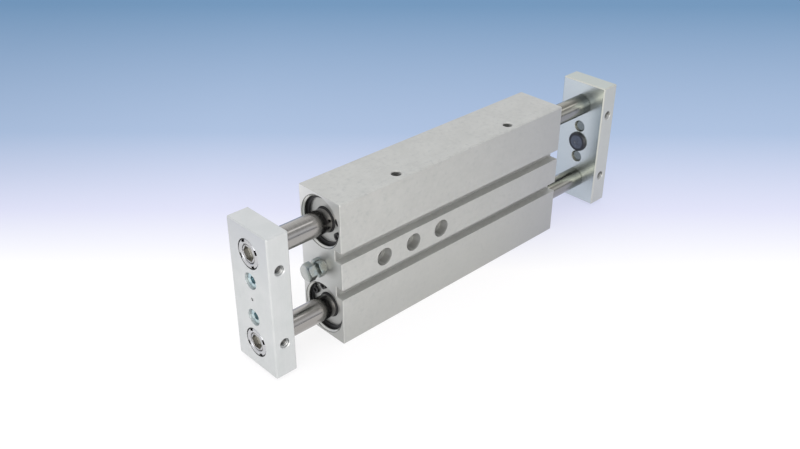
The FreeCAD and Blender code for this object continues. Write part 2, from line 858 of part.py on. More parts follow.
def make_rod_nut(end, level):
    """A round nut flush in the plate, with four notches for a pin wrench."""
    body = new_body("rod_nut")
    inner = "stud_diameter / 2 + thread_clearance"
    start = "plate_thickness - nut_length"
    sketch = new_sketch(body, "XY_Plane")
    draw_outline(sketch, [
        (start, inner),
        (start, "nut_diameter / 2"),
        ("plate_thickness - nut_chamfer", "nut_diameter / 2"),
        ("plate_thickness", "nut_diameter / 2 - nut_chamfer"),
        ("plate_thickness", f"{inner} + nut_chamfer"),
        ("plate_thickness - nut_chamfer", inner),
    ])
    revolve(body, sketch)
    notch = new_sketch(body, "YZ_Plane", "plate_thickness")
    floor = "nut_diameter / 2 - nut_notch_depth"
    draw_outline(notch, [
        ("-nut_notch_width / 2", floor),
        ("nut_notch_width / 2", floor),
        ("nut_notch_width / 2", "nut_diameter"),
        ("-nut_notch_width / 2", "nut_diameter"),
    ])
    first = pocket(body, notch, "nut_notch_length")
    pattern = body.newObject("PartDesign::PolarPattern", "notches")
    pattern.Originals = [first]
    pattern.Axis = (notch, ["N_Axis"])
    pattern.Angle = FULL_TURN
    pattern.Occurrences = NUT_NOTCHES
    body.Tip = pattern
    doc.recompute()
    sign = "" if level == "upper" else "-"
    place_on_plate(body, end, f"{sign}rod_spacing / 2", size("nut_turn"))
    keep(body, f"rod_nut_{end}_{level}")


def make_plate_screw(end, level):
    """A socket head screw in the plate, its head a little below the outer face."""
    outer = "plate_thickness - plate_screw_recess"
    inner = f"{outer} - plate_screw_length"
    under_head = f"{outer} - plate_screw_head_length"
    radius = "plate_screw_diameter / 2 - thread_clearance"
    head = "plate_screw_head_diameter / 2 - thread_clearance"
    body = turned_part("plate_screw", [
        (inner, "0"),
        (inner, f"{radius} - plate_screw_chamfer"),
        (f"{inner} + plate_screw_chamfer", radius),
        (under_head, radius),
        (under_head, head),
        (f"{outer} - plate_screw_chamfer", head),
        (outer, f"{head} - plate_screw_chamfer"),
        (outer, "0"),
    ])
    socket(body, outer, "plate_screw_socket", "plate_screw_socket_depth", False)
    sign = "" if level == "upper" else "-"
    place_on_plate(body, end, f"{sign}plate_screw_height")
    keep(body, f"plate_screw_{end}_{level}")


def make_bumper(end):
    """A polymer disc in the plate's inner face that stops the plate softly."""
    body = turned_part("bumper", [
        ("bumper_seat_depth", "0"),
        ("bumper_seat_depth", "bumper_diameter / 2"),
        ("bumper_round - bumper_projection", "bumper_diameter / 2"),
        ("-bumper_projection", "bumper_diameter / 2 - bumper_round"),
        ("-bumper_projection", "bumper_dimple_diameter / 2"),
        ("bumper_dimple_depth - bumper_projection", "bumper_dimple_diameter / 2 - bumper_dimple_depth"),
        ("bumper_dimple_depth - bumper_projection", "0"),
    ])
    place_on_plate(body, end)
    keep(body, f"bumper_{end}")


# Stop screw

def hex_prism(body, start, length):
    """A hexagon along -X from this place."""
    sketch = new_sketch(body, "YZ_Plane", start)
    draw_outline(sketch, hexagon("hex_across"))
    pad(body, sketch, length, backwards=True)


def trim_corners(body, face, inward):
    """Cut the hexagon's corners back to a cone at one face. Inward is the sign into the metal."""
    rise = "(hex_across - hex_face_diameter / 2) * tan(hex_chamfer_angle * 1 deg)"
    sketch = new_sketch(body, "XY_Plane")
    draw_outline(sketch, [
        (face, "hex_face_diameter / 2"),
        (face, "hex_across"),
        (f"{face} {inward} {rise}", "hex_across"),
    ])
    revolve(body, sketch, cut=True)


def make_stop_screw():
    """A hex head screw in the housing's front face, set by the lock nut."""
    radius = "screw_diameter / 2 - thread_clearance"
    tip = "screw_head_start + screw_shank_length"
    body = turned_part("stop_screw", [
        ("screw_head_start", "0"),
        ("screw_head_start", radius),
        (f"{tip} - rod_chamfer", radius),
        (tip, f"{radius} - rod_chamfer"),
        (tip, "0"),
    ])
    hex_prism(body, "screw_head_start", "screw_head_height")
    trim_corners(body, "screw_head_end", "+")
    place(body, "front_face", "0", "mid_height")
    keep(body, "stop_screw")


def make_lock_nut():
    body = new_body("stop_lock_nut")
    hex_prism(body, "0", "lock_nut_height")
    hole = new_sketch(body, "YZ_Plane")
    draw_circle(hole, "0", "0", "screw_diameter + 2 * thread_clearance")
    pocket(body, hole)
    trim_corners(body, "-lock_nut_height", "+")
    trim_corners(body, "0", "-")
    place(body, "front_face", "0", "mid_height")
    keep(body, "stop_lock_nut")


def check_document():
    """Stop if anything in the document failed or any sub-part has no sound shape."""
    doc.recompute()
    for item in doc.Objects:
        if "Invalid" in item.State or "Error" in item.State:
            raise RuntimeError(f"{item.Label} is {item.State}")
    for item in nodes:
        if item.Shape.isNull() or not item.Shape.isValid() or not item.Shape.Solids:
            raise RuntimeError(f"{item.Label} has no sound shape")


def write_parts():
    os.makedirs("parts", exist_ok=True)
    for item in nodes:
        item.Shape.exportStep(f"parts/{item.Label}.step")


fill_sheet()
make_housing()
make_plugs()
make_stop_screw()
make_lock_nut()
for level in LEVELS:
    for end in ENDS:
        make_circlip(end, level)
        make_cap(end, level)
        make_bush(end, level)
        make_wiper(end, level)
        make_rod_seal(end, level)
        make_cap_ring(end, level)
        make_rod_nut(end, level)
        make_plate_screw(end, level)
    make_rod(level)
    make_piston(level)
    make_magnet(level)
    make_piston_seals(level)
    make_inner_ring(level)
    make_clips(level)
for end in ENDS:
    make_plate(end)
    make_bumper(end)
check_document()
write_parts()
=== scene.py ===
import math

import bmesh
import bpy
from bpy.props import FloatProperty, FloatVectorProperty, IntProperty, PointerProperty
from mathutils import Matrix, Vector


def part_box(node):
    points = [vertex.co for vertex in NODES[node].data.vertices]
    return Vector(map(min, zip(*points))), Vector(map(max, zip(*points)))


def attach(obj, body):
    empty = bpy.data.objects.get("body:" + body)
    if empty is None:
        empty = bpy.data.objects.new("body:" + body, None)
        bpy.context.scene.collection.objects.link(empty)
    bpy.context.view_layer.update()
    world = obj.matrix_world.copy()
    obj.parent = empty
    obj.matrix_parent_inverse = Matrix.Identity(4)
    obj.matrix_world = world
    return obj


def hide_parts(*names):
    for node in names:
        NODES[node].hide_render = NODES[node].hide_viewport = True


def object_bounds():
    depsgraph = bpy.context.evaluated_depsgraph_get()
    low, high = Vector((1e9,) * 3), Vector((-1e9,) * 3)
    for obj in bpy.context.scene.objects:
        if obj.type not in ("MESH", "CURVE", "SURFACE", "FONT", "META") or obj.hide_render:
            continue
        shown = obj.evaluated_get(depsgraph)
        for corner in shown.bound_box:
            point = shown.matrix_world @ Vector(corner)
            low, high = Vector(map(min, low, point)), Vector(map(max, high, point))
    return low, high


bl_info = {
    "name": "Guided Cylinder Finish",
    "version": (1, 0, 0),
    "blender": (4, 5, 0),
    "location": "3D View > Sidebar > Cylinder",
    "description": "Finishes the pieces of a guided pneumatic cylinder and sets them in a studio",
    "category": "Object",
}

# Lengths are in metres. X runs along the rods, Y across the housing and Z up.
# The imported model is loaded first, so that every size below can start from it.
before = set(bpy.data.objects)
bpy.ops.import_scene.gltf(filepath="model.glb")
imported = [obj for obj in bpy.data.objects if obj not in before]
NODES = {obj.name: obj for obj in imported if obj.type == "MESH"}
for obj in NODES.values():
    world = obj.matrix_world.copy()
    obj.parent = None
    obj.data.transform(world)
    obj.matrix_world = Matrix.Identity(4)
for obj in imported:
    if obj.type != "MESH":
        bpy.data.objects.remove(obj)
CAD_LOW, CAD_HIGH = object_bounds()

MM = 0.001
ENDS = ("front", "rear")
LEVELS = ("upper", "lower")
# Points closer than this are one.
MERGE = 0.002 * MM
# Edges that turn more than this stay sharp.
SHARP = math.radians(32)
# The corners of hexagons are cut back by a cone this steep.
CORNER_SLOPE = math.tan(math.radians(30))
# Points in a rim. Six divides them, so that a hexagon's corners fall on points.
RIM_POINTS = 48
THREAD_STEPS = 40
FLOOR_POINTS = 72
FLOOR_GAP = 0.05 * MM
# How far thread ridges stand out from the walls of the ports and of the side holes.
PORT_RIDGE = 0.16 * MM
SIDE_RIDGE = 0.3 * MM


def middle(node):
    """The centre of a node's box."""
    low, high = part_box(node)
    return (low + high) / 2


def extent(node):
    """The size of a node's box along X, Y and Z."""
    low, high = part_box(node)
    return high - low


HOUSING_LOW, HOUSING_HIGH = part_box("housing")
HOUSING_MIDDLE = middle("housing")
ROD_SPACING = middle("piston_rod_upper").z - middle("piston_rod_lower").z
BORE_RADIUS = extent("bearing_cap_front_upper").y / 2
NUT_RADIUS = extent("rod_nut_front_upper").y / 2
BUMPER_RADIUS = extent("bumper_front").y / 2
PLATE_THICKNESS = extent("yoke_plate_front").x
PLATE_HALF = extent("yoke_plate_front").y / 2
PLATES_MIDDLE = (CAD_LOW.x + CAD_HIGH.x) / 2
PLATES_REACH = (CAD_HIGH.x - CAD_LOW.x) / 2
PLATES_INNER = PLATES_REACH - PLATE_THICKNESS
STOP_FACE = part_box("stop_screw")[0].x
# The cross holes lie this near to the middle height, and the sensor grooves further off.
HOLES_REACH = 4 * MM
# The notches of the rod nuts lie outside the first radius, and a cap's hole inside the second.
NOTCH_FLOOR = 4.5 * MM
CAP_MOUTH = 6 * MM


class FinishColours(bpy.types.PropertyGroup):
    """The base colour of each finish."""

    housing: FloatVectorProperty(
        name="Housing", description="Clear anodised extrusion", subtype="COLOR",
        default=(0.476, 0.48, 0.463), min=0, max=1)
    plate: FloatVectorProperty(
        name="End plates", description="Fine satin aluminium", subtype="COLOR",
        default=(0.527, 0.54, 0.542), min=0, max=1)
    rod: FloatVectorProperty(
        name="Rods", description="Ground and polished steel", subtype="COLOR",
        default=(0.345, 0.336, 0.325), min=0, max=1)
    zinc: FloatVectorProperty(
        name="Zinc", description="Bright bluish zinc on the plate screws", subtype="COLOR",
        default=(0.5, 0.585, 0.625), min=0, max=1)
    dull_zinc: FloatVectorProperty(
        name="Dull zinc", description="Worn zinc on the stop screw and its nut", subtype="COLOR",
        default=(0.38, 0.393, 0.385), min=0, max=1)
    nut: FloatVectorProperty(
        name="Rod nuts", description="Bright turned steel", subtype="COLOR",
        default=(0.5, 0.505, 0.52), min=0, max=1)
    rod_recess: FloatVectorProperty(
        name="Rod recess", description="Dull floor of the hexagon in a rod's end", subtype="COLOR",
        default=(0.3, 0.3, 0.265), min=0, max=1)
    spring: FloatVectorProperty(
        name="Circlips", description="Blackened spring steel", subtype="COLOR",
        default=(0.025, 0.025, 0.027), min=0, max=1)
    rubber: FloatVectorProperty(
        name="Seals", description="Matt black rubber", subtype="COLOR",
        default=(0.012, 0.012, 0.013), min=0, max=1)
    bumper: FloatVectorProperty(
        name="Bumpers", description="Dark blue-grey polymer", subtype="COLOR",
        default=(0.052, 0.063, 0.09), min=0, max=1)
    cap: FloatVectorProperty(
        name="Bearing caps", description="Turned aluminium", subtype="COLOR",
        default=(0.4, 0.405, 0.395), min=0, max=1)
    bush: FloatVectorProperty(
        name="Bushes", description="Sintered bronze", subtype="COLOR",
        default=(0.48, 0.3, 0.14), min=0, max=1)
    magnet: FloatVectorProperty(
        name="Magnets", description="Bonded magnet", subtype="COLOR",
        default=(0.05, 0.045, 0.042), min=0, max=1)


class DetailSizes(bpy.types.PropertyGroup):
    """The sizes of the pieces that are modelled here."""

    edge_radius: FloatProperty(
        name="Edge radius", description="Rounding of worked edges in the finish",
        default=0.18 * MM, min=0, unit="LENGTH")
    bevel_width: FloatProperty(
        name="Bevel", description="Width of the broken edges on screws and nuts",
        default=0.09 * MM, min=0, unit="LENGTH")
    stop_head_height: FloatProperty(
        name="Stop screw head", description="Height of the hexagon head",
        default=3.3 * MM, min=MM, unit="LENGTH")
    stop_thread_pitch: FloatProperty(
        name="Stop screw pitch", description="Thread pitch of the stop screw",
        default=0.7 * MM, min=0.2 * MM, unit="LENGTH")
    stop_shank_radius: FloatProperty(
        name="Stop screw radius", description="Outer radius of the stop screw's thread",
        default=1.95 * MM, min=MM, unit="LENGTH")
    hex_face_share: FloatProperty(
        name="Hexagon face", description="Radius of a hexagon's flat face over half its width",
        default=0.93, min=0.5, max=1)
    plate_screw_shank: FloatProperty(
        name="Plate screw radius", description="Outer radius of the plate screws' threads",
        default=2.95 * MM, min=MM, unit="LENGTH")
    plate_screw_head_height: FloatProperty(
        name="Plate screw head", description="Height of the plate screws' heads",
        default=4.0 * MM, min=MM, unit="LENGTH")
    plate_screw_pitch: FloatProperty(
        name="Plate screw pitch", description="Thread pitch of the plate screws",
        default=1.0 * MM, min=0.2 * MM, unit="LENGTH")
    plate_screw_socket: FloatProperty(
        name="Plate screw socket", description="Width across flats of the plate screws' sockets",
        default=3.0 * MM, min=MM, unit="LENGTH")
    plate_screw_socket_depth: FloatProperty(
        name="Socket depth", description="Depth of the plate screws' sockets",
        default=2.2 * MM, min=MM, unit="LENGTH")
    port_radius: FloatProperty(
        name="Port radius", description="Wall radius of the air ports and the plates' side threads",
        default=2.1 * MM, min=MM, unit="LENGTH")
    port_offset: FloatProperty(
        name="Port offset", description="Distance of the air ports from the middle plane",
        default=8.1 * MM, min=0, unit="LENGTH")
    port_inset: FloatProperty(
        name="Port inset", description="Distance of the air ports from the housing's end faces",
        default=33.5 * MM, min=0, unit="LENGTH")
    port_depth: FloatProperty(
        name="Port thread depth", description="Length of the ridges in an air port",
        default=4.0 * MM, min=MM, unit="LENGTH")
    side_thread_spacing: FloatProperty(
        name="Side thread spacing", description="Distance between the threads in a plate's side",
        default=33.5 * MM, min=0, unit="LENGTH")
    side_thread_depth: FloatProperty(
        name="Side thread depth", description="Length of the ridges in a plate's side",
        default=5.0 * MM, min=MM, unit="LENGTH")
    fine_pitch: FloatProperty(
        name="Fine pitch", description="Thread pitch in the ports and the plates' sides",
        default=0.8 * MM, min=0.2 * MM, unit="LENGTH")
    thread_lead_in: FloatProperty(
        name="Lead-in", description="Plain stretch between a hole's mouth and its first ridge",
        default=0.5 * MM, min=0, unit="LENGTH")


class StudioSettings(bpy.types.PropertyGroup):
    """The camera, the lamps and the floor."""

    camera_place: FloatVectorProperty(
        name="Camera", description="Where the camera stands", subtype="TRANSLATION",
        default=(-0.26046, -0.248314, 0.238563))
    camera_turn: FloatVectorProperty(
        name="Camera turn", description="How the camera is turned", subtype="EULER",
        default=tuple(math.radians(angle) for angle in (59.2473, -0.1358, -43.5058)))
    camera_lens: FloatProperty(
        name="Lens", description="Focal length in millimetres on a 36 mm wide sensor",
        default=41.75, min=1)
    world_strength: FloatProperty(
        name="Room light", description="Brightness of the even light from all around",
        default=0.95, min=0)
    floor_near: FloatVectorProperty(
        name="Floor, near", description="Floor colour under the object and in front of it",
        subtype="COLOR", default=(1.0, 0.995, 1.0), min=0, max=1)
    floor_middle: FloatVectorProperty(
        name="Floor, middle", description="Floor colour just behind the object", subtype="COLOR",
        default=(0.745, 0.76, 0.925), min=0, max=1)
    floor_back: FloatVectorProperty(
        name="Floor, back", description="Floor colour a little further back", subtype="COLOR",
        default=(0.425, 0.535, 0.735), min=0, max=1)
    floor_far: FloatVectorProperty(
        name="Floor, far", description="Floor colour far behind the object", subtype="COLOR",
        default=(0.178, 0.315, 0.505), min=0, max=1)
    floor_glow: FloatProperty(
        name="Floor evenness", description="Share of the floor that is seen without its shading",
        default=0.78, min=0, max=1, subtype="FACTOR")
    floor_size: FloatProperty(
        name="Floor size", description="Radius of the round floor", default=6.0, min=1,
        unit="LENGTH")
    lamp_strength: IntProperty(
        name="Lamps", description="Strength of all the lamps in percent", default=100, min=0)


def colours():
    return bpy.context.scene.cylinder_colours


def sizes():
    return bpy.context.scene.cylinder_sizes


def studio():
    return bpy.context.scene.cylinder_studio


# Finishes

class Nodes:
    """A node tree that is built up step by step."""

    def __init__(self, tree):
        self.tree = tree

    def node(self, kind, **settings):
        made = self.tree.nodes.new(kind)
        for name, value in settings.items():
            setattr(made, name, value)
        return made

    def feed(self, socket, value):
        """Link an output to a socket, or set a plain value on it."""
        if isinstance(value, bpy.types.NodeSocket):
            self.tree.links.new(value, socket)
        else:
            socket.default_value = value

    def maths(self, operation, first, second=0.0):
        made = self.node("ShaderNodeMath", operation=operation)
        self.feed(made.inputs[0], first)
        self.feed(made.inputs[1], second)
        return made.outputs[0]

    def times(self, *values):
        """Several values multiplied."""
        product = values[0]
        for value in values[1:]:
            product = self.maths("MULTIPLY", product, value)
        return product

    def but(self, mask):
        """The opposite of a mask."""
        return self.maths("SUBTRACT", 1.0, mask)

    def apart(self, value, centre):
        """How far a value is from another one, either way."""
        return self.maths("ABSOLUTE", self.maths("SUBTRACT", value, centre))

    def length(self, first, second):
        """The length of the step given by two values."""
        squares = [self.maths("MULTIPLY", value, value) for value in (first, second)]
        return self.maths("SQRT", self.maths("ADD", *squares))

    def split(self, vector):
        """A vector's X, Y and Z."""
        made = self.node("ShaderNodeSeparateXYZ")
        self.feed(made.inputs[0], vector)
        return made.outputs

    def ranged(self, value, low, high, to_low=0.0, to_high=1.0):
        """A value's range mapped to another one, without going past its ends."""
        made = self.node("ShaderNodeMapRange")
        self.feed(made.inputs["Value"], value)
        made.inputs["From Min"].default_value = low
        made.inputs["From Max"].default_value = high
        self.feed(made.inputs["To Min"], to_low)
        self.feed(made.inputs["To Max"], to_high)
        return made.outputs["Result"]

    def step(self, value, base, start, end):
        """0 to 1 as a value goes from one distance off a base to another, in millimetres."""
        return self.ranged(value, base + start * MM, base + end * MM)

    def mixed(self, share, first, second, blend="MIX"):
        """A colour between two others, or between one and its blend with the other."""
        made = self.node("ShaderNodeMix", data_type="RGBA", blend_type=blend)
        self.feed(made.inputs["Factor"], share)
        self.feed(made.inputs["A"], as_colour(first))
        self.feed(made.inputs["B"], as_colour(second))
        return made.outputs["Result"]

    def ramp(self, value, stops):
        """A colour that follows a value through stops of a place and a colour."""
        made = self.node("ShaderNodeValToRGB")
        self.feed(made.inputs["Fac"], value)
        elements = made.color_ramp.elements
        while len(elements) < len(stops):
            elements.new(0.5)
        for element, (place, colour) in zip(elements, stops):
            element.position = place
            element.color = (*colour, 1)
        return made.outputs["Color"]


class Finish(Nodes):
    """A node material round one Principled shader, whose tone is mixed step by step."""

    def __init__(self, name, colour, metallic):
        self.material = bpy.data.materials.new(name)
        self.material.use_nodes = True
        super().__init__(self.material.node_tree)
        self.shader = self.tree.nodes["Principled BSDF"]
        self.shader.inputs["Metallic"].default_value = metallic
        self.colour = tuple(colour)
        self.tone = self.colour
        self.place = self.node("ShaderNodeTexCoord").outputs["Object"]
        self.relief = None

    def parts(self):
        """The place's X, Y and Z."""
        return self.split(self.place)

    def noise(self, grain, detail, roughness, stretch=(1, 1, 1)):
        """Noise whose grains are about this long, with the place scaled by stretch."""
        mapping = self.node("ShaderNodeMapping")
        self.feed(mapping.inputs["Vector"], self.place)
        mapping.inputs["Scale"].default_value = stretch
        made = self.node("ShaderNodeTexNoise")
        self.feed(made.inputs["Vector"], mapping.outputs[0])
        made.inputs["Scale"].default_value = 1 / grain
        made.inputs["Detail"].default_value = detail
        made.inputs["Roughness"].default_value = roughness
        return made.outputs["Fac"]

    def spread(self, noise, low=0.0, high=1.0):
        """Noise spread out from the range that most of it lies in."""
        return self.ranged(noise, 0.3, 0.7, low, high)

    def shade(self, amount):
        """The finish's colour made lighter or darker, with a tint for each channel if given."""
        factors = amount if isinstance(amount, tuple) else (amount, amount, amount)
        return tuple(min(1.0, channel * factor) for channel, factor in zip(self.colour, factors))

    def vary(self, noise, low, high):
        """Let the tone wander between two shades."""
        self.tone = self.mixed(self.spread(noise), self.shade(low), self.shade(high))

    def tint(self, share, amount):
        """Mix a shade of the finish's colour into the tone."""
        self.paint(share, self.shade(amount))

    def paint(self, share, colour):
        """Mix any colour into the tone."""
        self.tone = self.mixed(share, self.tone, colour)

    def faces(self, axis):
        """1 on faces that look along an axis (0 for X, 1 for Y, 2 for Z), both ways."""
        normal = self.split(self.node("ShaderNodeNewGeometry").outputs["True Normal"])
        return self.ranged(self.maths("ABSOLUTE", normal[axis]), 0.9, 0.99)

    def rounded(self, radius):
        """The normal as if edges were rounded, and a mask that is 1 on those edges."""
        made = self.node("ShaderNodeBevel", samples=6)
        made.inputs["Radius"].default_value = radius
        facing = self.node("ShaderNodeVectorMath", operation="DOT_PRODUCT")
        self.feed(facing.inputs[0], made.outputs[0])
        self.feed(facing.inputs[1], self.node("ShaderNodeNewGeometry").outputs["True Normal"])
        self.relief = made.outputs[0]
        return self.ranged(facing.outputs["Value"], 0.985, 0.85)

    def raise_by(self, height, depth, strength=0.5):
        """Relief from a height between 0 and 1, this deep in metres."""
        made = self.node("ShaderNodeBump")
        made.inputs["Strength"].default_value = strength
        made.inputs["Distance"].default_value = depth
        self.feed(made.inputs["Height"], height)
        if self.relief is not None:
            self.feed(made.inputs["Normal"], self.relief)
        self.relief = made.outputs[0]

    def reach(self):
        """The distance along X from the middle between the plates."""
        return self.apart(self.parts()[0], PLATES_MIDDLE)

    def from_line(self, across, height):
        """The distance from a line along X, given by its Y and Z."""
        y, z = self.parts()[1:]
        return self.length(self.maths("SUBTRACT", y, across), self.maths("SUBTRACT", z, height))

    def from_rod_axis(self):
        """The distance from the nearer rod's axis."""
        y, z = self.parts()[1:]
        height = self.apart(z, HOUSING_MIDDLE.z)
        return self.length(y, self.maths("SUBTRACT", height, ROD_SPACING / 2))

    def turned_rings(self, pitch):
        """Rings about the nearer rod's axis, from 0 to 1."""
        waves = self.maths("SINE", self.times(self.from_rod_axis(), math.tau / pitch))
        return self.ranged(waves, -1, 1)

    def port_holes(self):
        """1 inside the two air ports, below their mouths."""
        x, y, z = self.parts()
        spacing = (HOUSING_HIGH.x - HOUSING_LOW.x) / 2 - sizes().port_inset
        along = self.maths("SUBTRACT", self.apart(x, HOUSING_MIDDLE.x), spacing)
        off = self.length(along, self.maths("ADD", y, sizes().port_offset))
        near = self.step(off, sizes().port_radius, 0.3, 0.2)
        below = self.step(z, HOUSING_HIGH.z, -0.5, -0.9)
        above = self.step(z, HOUSING_HIGH.z, -10, -9)
        return self.times(near, below, above)

    def done(self, roughness):
        self.feed(self.shader.inputs["Base Color"], as_colour(self.tone))
        self.feed(self.shader.inputs["Roughness"], roughness)
        if self.relief is not None:
            self.feed(self.shader.inputs["Normal"], self.relief)
        return self.material


def as_colour(value):
    """A colour with its alpha, or a socket as it is."""
    if isinstance(value, bpy.types.NodeSocket):
        return value
    return (*value[:3], 1.0)


def anodised_extrusion():
    """Satin anodised aluminium with faint drawing lines along X and machined ends and holes."""
    made = Finish("anodised_extrusion", colours().housing, 0.55)
    edges = made.rounded(sizes().edge_radius)
    cloud = made.noise(9 * MM, 4, 0.6)
    lines = made.noise(0.6 * MM, 2, 0.5, (0.012, 1, 1))
    grain = made.noise(0.22 * MM, 2, 0.6)
    flecks = made.noise(2.2 * MM, 4, 0.65)
    x, y, z = made.parts()
    cut, sides = made.faces(0), made.faces(1)
    made.vary(cloud, 0.94, 1.05)
    made.tint(made.ranged(flecks, 0.54, 0.68, 0.0, 0.8), (0.84, 0.85, 0.87))
    made.tint(made.ranged(flecks, 0.46, 0.34, 0.0, 0.5), 1.1)
    made.tint(made.ranged(lines, 0.35, 0.65, 0.0, 0.15), 1.06)
    # Painted shade: the sides are darker towards the rear and towards the foot, as if they caught
    # less light there.
    made.tint(made.times(sides, made.ranged(x, HOUSING_LOW.x, HOUSING_HIGH.x, 0.2, 0.68)), 0.7)
    foot = made.ranged(z, HOUSING_MIDDLE.z - 4 * MM, HOUSING_LOW.z + 6 * MM)
    made.tint(made.times(sides, foot, 0.42), 0.75)
    # Painted shade: the cross holes and the ends of the sensor grooves are darker than the faces
    # round them.
    sunk = made.step(made.maths("ABSOLUTE", y), HOUSING_HIGH.y, -0.5, -1)
    height = made.apart(z, HOUSING_MIDDLE.z)
    holes = made.step(height, HOLES_REACH, 0, -0.1)
    made.tint(made.times(sunk, holes, made.but(cut)), 0.74)
    grooves = made.step(height, HOLES_REACH, 0, 0.1)
    groove_end = made.step(x, HOUSING_LOW.x, 3, 1)
    made.tint(made.times(sunk, sides, grooves, groove_end, 0.8), 0.6)
    # Painted shade inside the two air ports.
    made.tint(made.port_holes(), 0.22)
    # Painted light and shade: the milled ends grow lighter across the housing and darker towards its
    # foot.
    across = made.ranged(y, HOUSING_LOW.y, HOUSING_HIGH.y)
    milled = made.mixed(across, made.shade((0.9, 0.91, 0.93)), made.shade((1.46, 1.46, 1.52)))
    low = made.ranged(z, HOUSING_MIDDLE.z - 9 * MM, HOUSING_LOW.z + 8 * MM)
    milled = made.mixed(made.times(low, 0.6), milled, made.shade(0.62))
    # Painted shadow: the lock nut casts a dark patch beside it.
    beside_nut = made.from_line(-4.5 * MM, HOUSING_MIDDLE.z + 2.5 * MM)
    front = made.step(x, HOUSING_MIDDLE.x, 1, -1)
    nut_shadow = made.times(made.ranged(beside_nut, 6.5 * MM, 2 * MM), front, 0.9)
    milled = made.mixed(nut_shadow, milled, made.shade(0.4))
    made.paint(made.times(cut, 0.85), milled)
    # Painted highlight and shade: a bore's mouth is a bright cone inside a dark rim, and the wall
    # behind it is dark.
    bore = made.from_rod_axis()
    mouth = made.times(made.step(bore, BORE_RADIUS, 1.25, 1.05), made.but(cut))
    made.tint(mouth, 1.22)
    made.tint(made.times(mouth, made.step(bore, BORE_RADIUS, 0.72, 0.8)), 0.42)
    made.tint(made.times(mouth, made.step(bore, BORE_RADIUS, 0.2, 0.12)), 0.1)
    # Painted highlight on the rounded edges.
    made.tint(made.times(edges, 0.25), 1.35)
    made.raise_by(grain, 0.018 * MM)
    made.raise_by(lines, 0.012 * MM, 0.4)
    return made.done(made.maths("SUBTRACT", made.spread(grain, 0.38, 0.48), made.times(mouth, 0.22)))


def satin_plate():
    """Fine satin aluminium, a little cooler and brighter than the housing."""
    made = Finish("satin_plate", colours().plate, 0.55)
    edges = made.rounded(sizes().edge_radius)
    cloud = made.noise(7 * MM, 4, 0.6)
    grain = made.noise(0.2 * MM, 2, 0.6)
    brushed = made.noise(0.35 * MM, 2, 0.5, (1, 1, 0.03))
    x, y, z = made.parts()
    reach = made.reach()
    flat = made.faces(0)
    rear = made.step(x, 0.0, 0, 10)
    made.vary(cloud, (0.95, 0.965, 0.96), 1.04)
    made.tint(made.ranged(brushed, 0.35, 0.65, 0.0, 0.3), 1.07)
    # Painted highlight on the rounded edges.
    made.tint(made.times(edges, 0.25), 1.3)
    # Painted light: the rear plate is tinted warmer and darker, against the blue light it gets from
    # the floor.
    made.tint(made.times(rear, 0.75), (0.96, 0.945, 0.83))
    # Painted shade: the end faces of the plates are darker towards the top.
    upper = made.ranged(z, HOUSING_MIDDLE.z + 8 * MM, HOUSING_HIGH.z)
    made.tint(made.times(flat, upper), (0.86, 0.87, 0.91))
    # Painted light: the rear plate's top face is tinted cooler and darker.
    made.tint(made.times(made.faces(2), rear, 0.6), (0.82, 0.9, 0.87))
    # Painted shade: the gaps round the nuts are black.
    seat = made.step(made.from_rod_axis(), NUT_RADIUS, 0.55, 0.45)
    below = made.step(reach, PLATES_REACH, -0.15, -0.3)
    above = made.step(reach, PLATES_INNER, 1.2, 1.4)
    made.paint(made.times(seat, below, above), (0.008, 0.008, 0.01))
    # Painted shade: the side holes are dark from a little way in.
    depth = made.maths("ABSOLUTE", y)
    height = made.maths("SUBTRACT", z, HOUSING_MIDDLE.z)
    up = made.maths("SUBTRACT", made.maths("ABSOLUTE", height), sizes().side_thread_spacing / 2)
    off = made.length(made.maths("SUBTRACT", reach, PLATES_REACH - PLATE_THICKNESS / 2), up)
    inside = made.step(depth, PLATE_HALF, -0.3, -0.6)
    hole = made.step(off, sizes().port_radius, 0.3, 0.2)
    wall = made.step(off, sizes().port_radius, -0.25, -0.1)
    dark = made.maths("MAXIMUM", made.times(inside, wall), made.step(depth, PLATE_HALF, -1.3, -2.4))
    made.tint(made.times(hole, dark, 0.85), 0.16)
    # Painted shade and light: their upper walls are dark, and the lower ones are bright near the
    # mouth.
    rise = made.maths("MULTIPLY", up, made.maths("SIGN", height))
    made.tint(made.times(hole, inside, made.step(rise, 0.0, 0.3, 1), 0.75), 0.16)
    near_mouth = made.step(depth, PLATE_HALF, -2.4, -1.2)
    made.tint(made.times(hole, made.step(rise, 0.0, -0.2, -0.9), near_mouth), 1.05)
    made.raise_by(grain, 0.014 * MM)
    made.raise_by(brushed, 0.008 * MM, 0.4)
    # The inner faces are smooth enough to mirror the rods. Painted light lifts their tone, and a
    # painted dark reflection lies along one edge.
    inner = made.times(flat, made.step(reach, PLATES_REACH, -5.2, -5.4))
    made.tint(made.times(inner, 0.8), (1.27, 1.36, 1.28))
    edge = made.ranged(y, -PLATE_HALF * 0.35, -PLATE_HALF * 0.92)
    made.tint(made.times(inner, edge, made.step(up, 0.0, 12, 0), 0.35), (0.42, 0.52, 0.55))
    made.feed(made.shader.inputs["Metallic"], made.ranged(inner, 0, 1, 0.55, 0.9))
    return made.done(made.maths("SUBTRACT", made.spread(grain, 0.31, 0.42), made.times(inner, 0.14)))


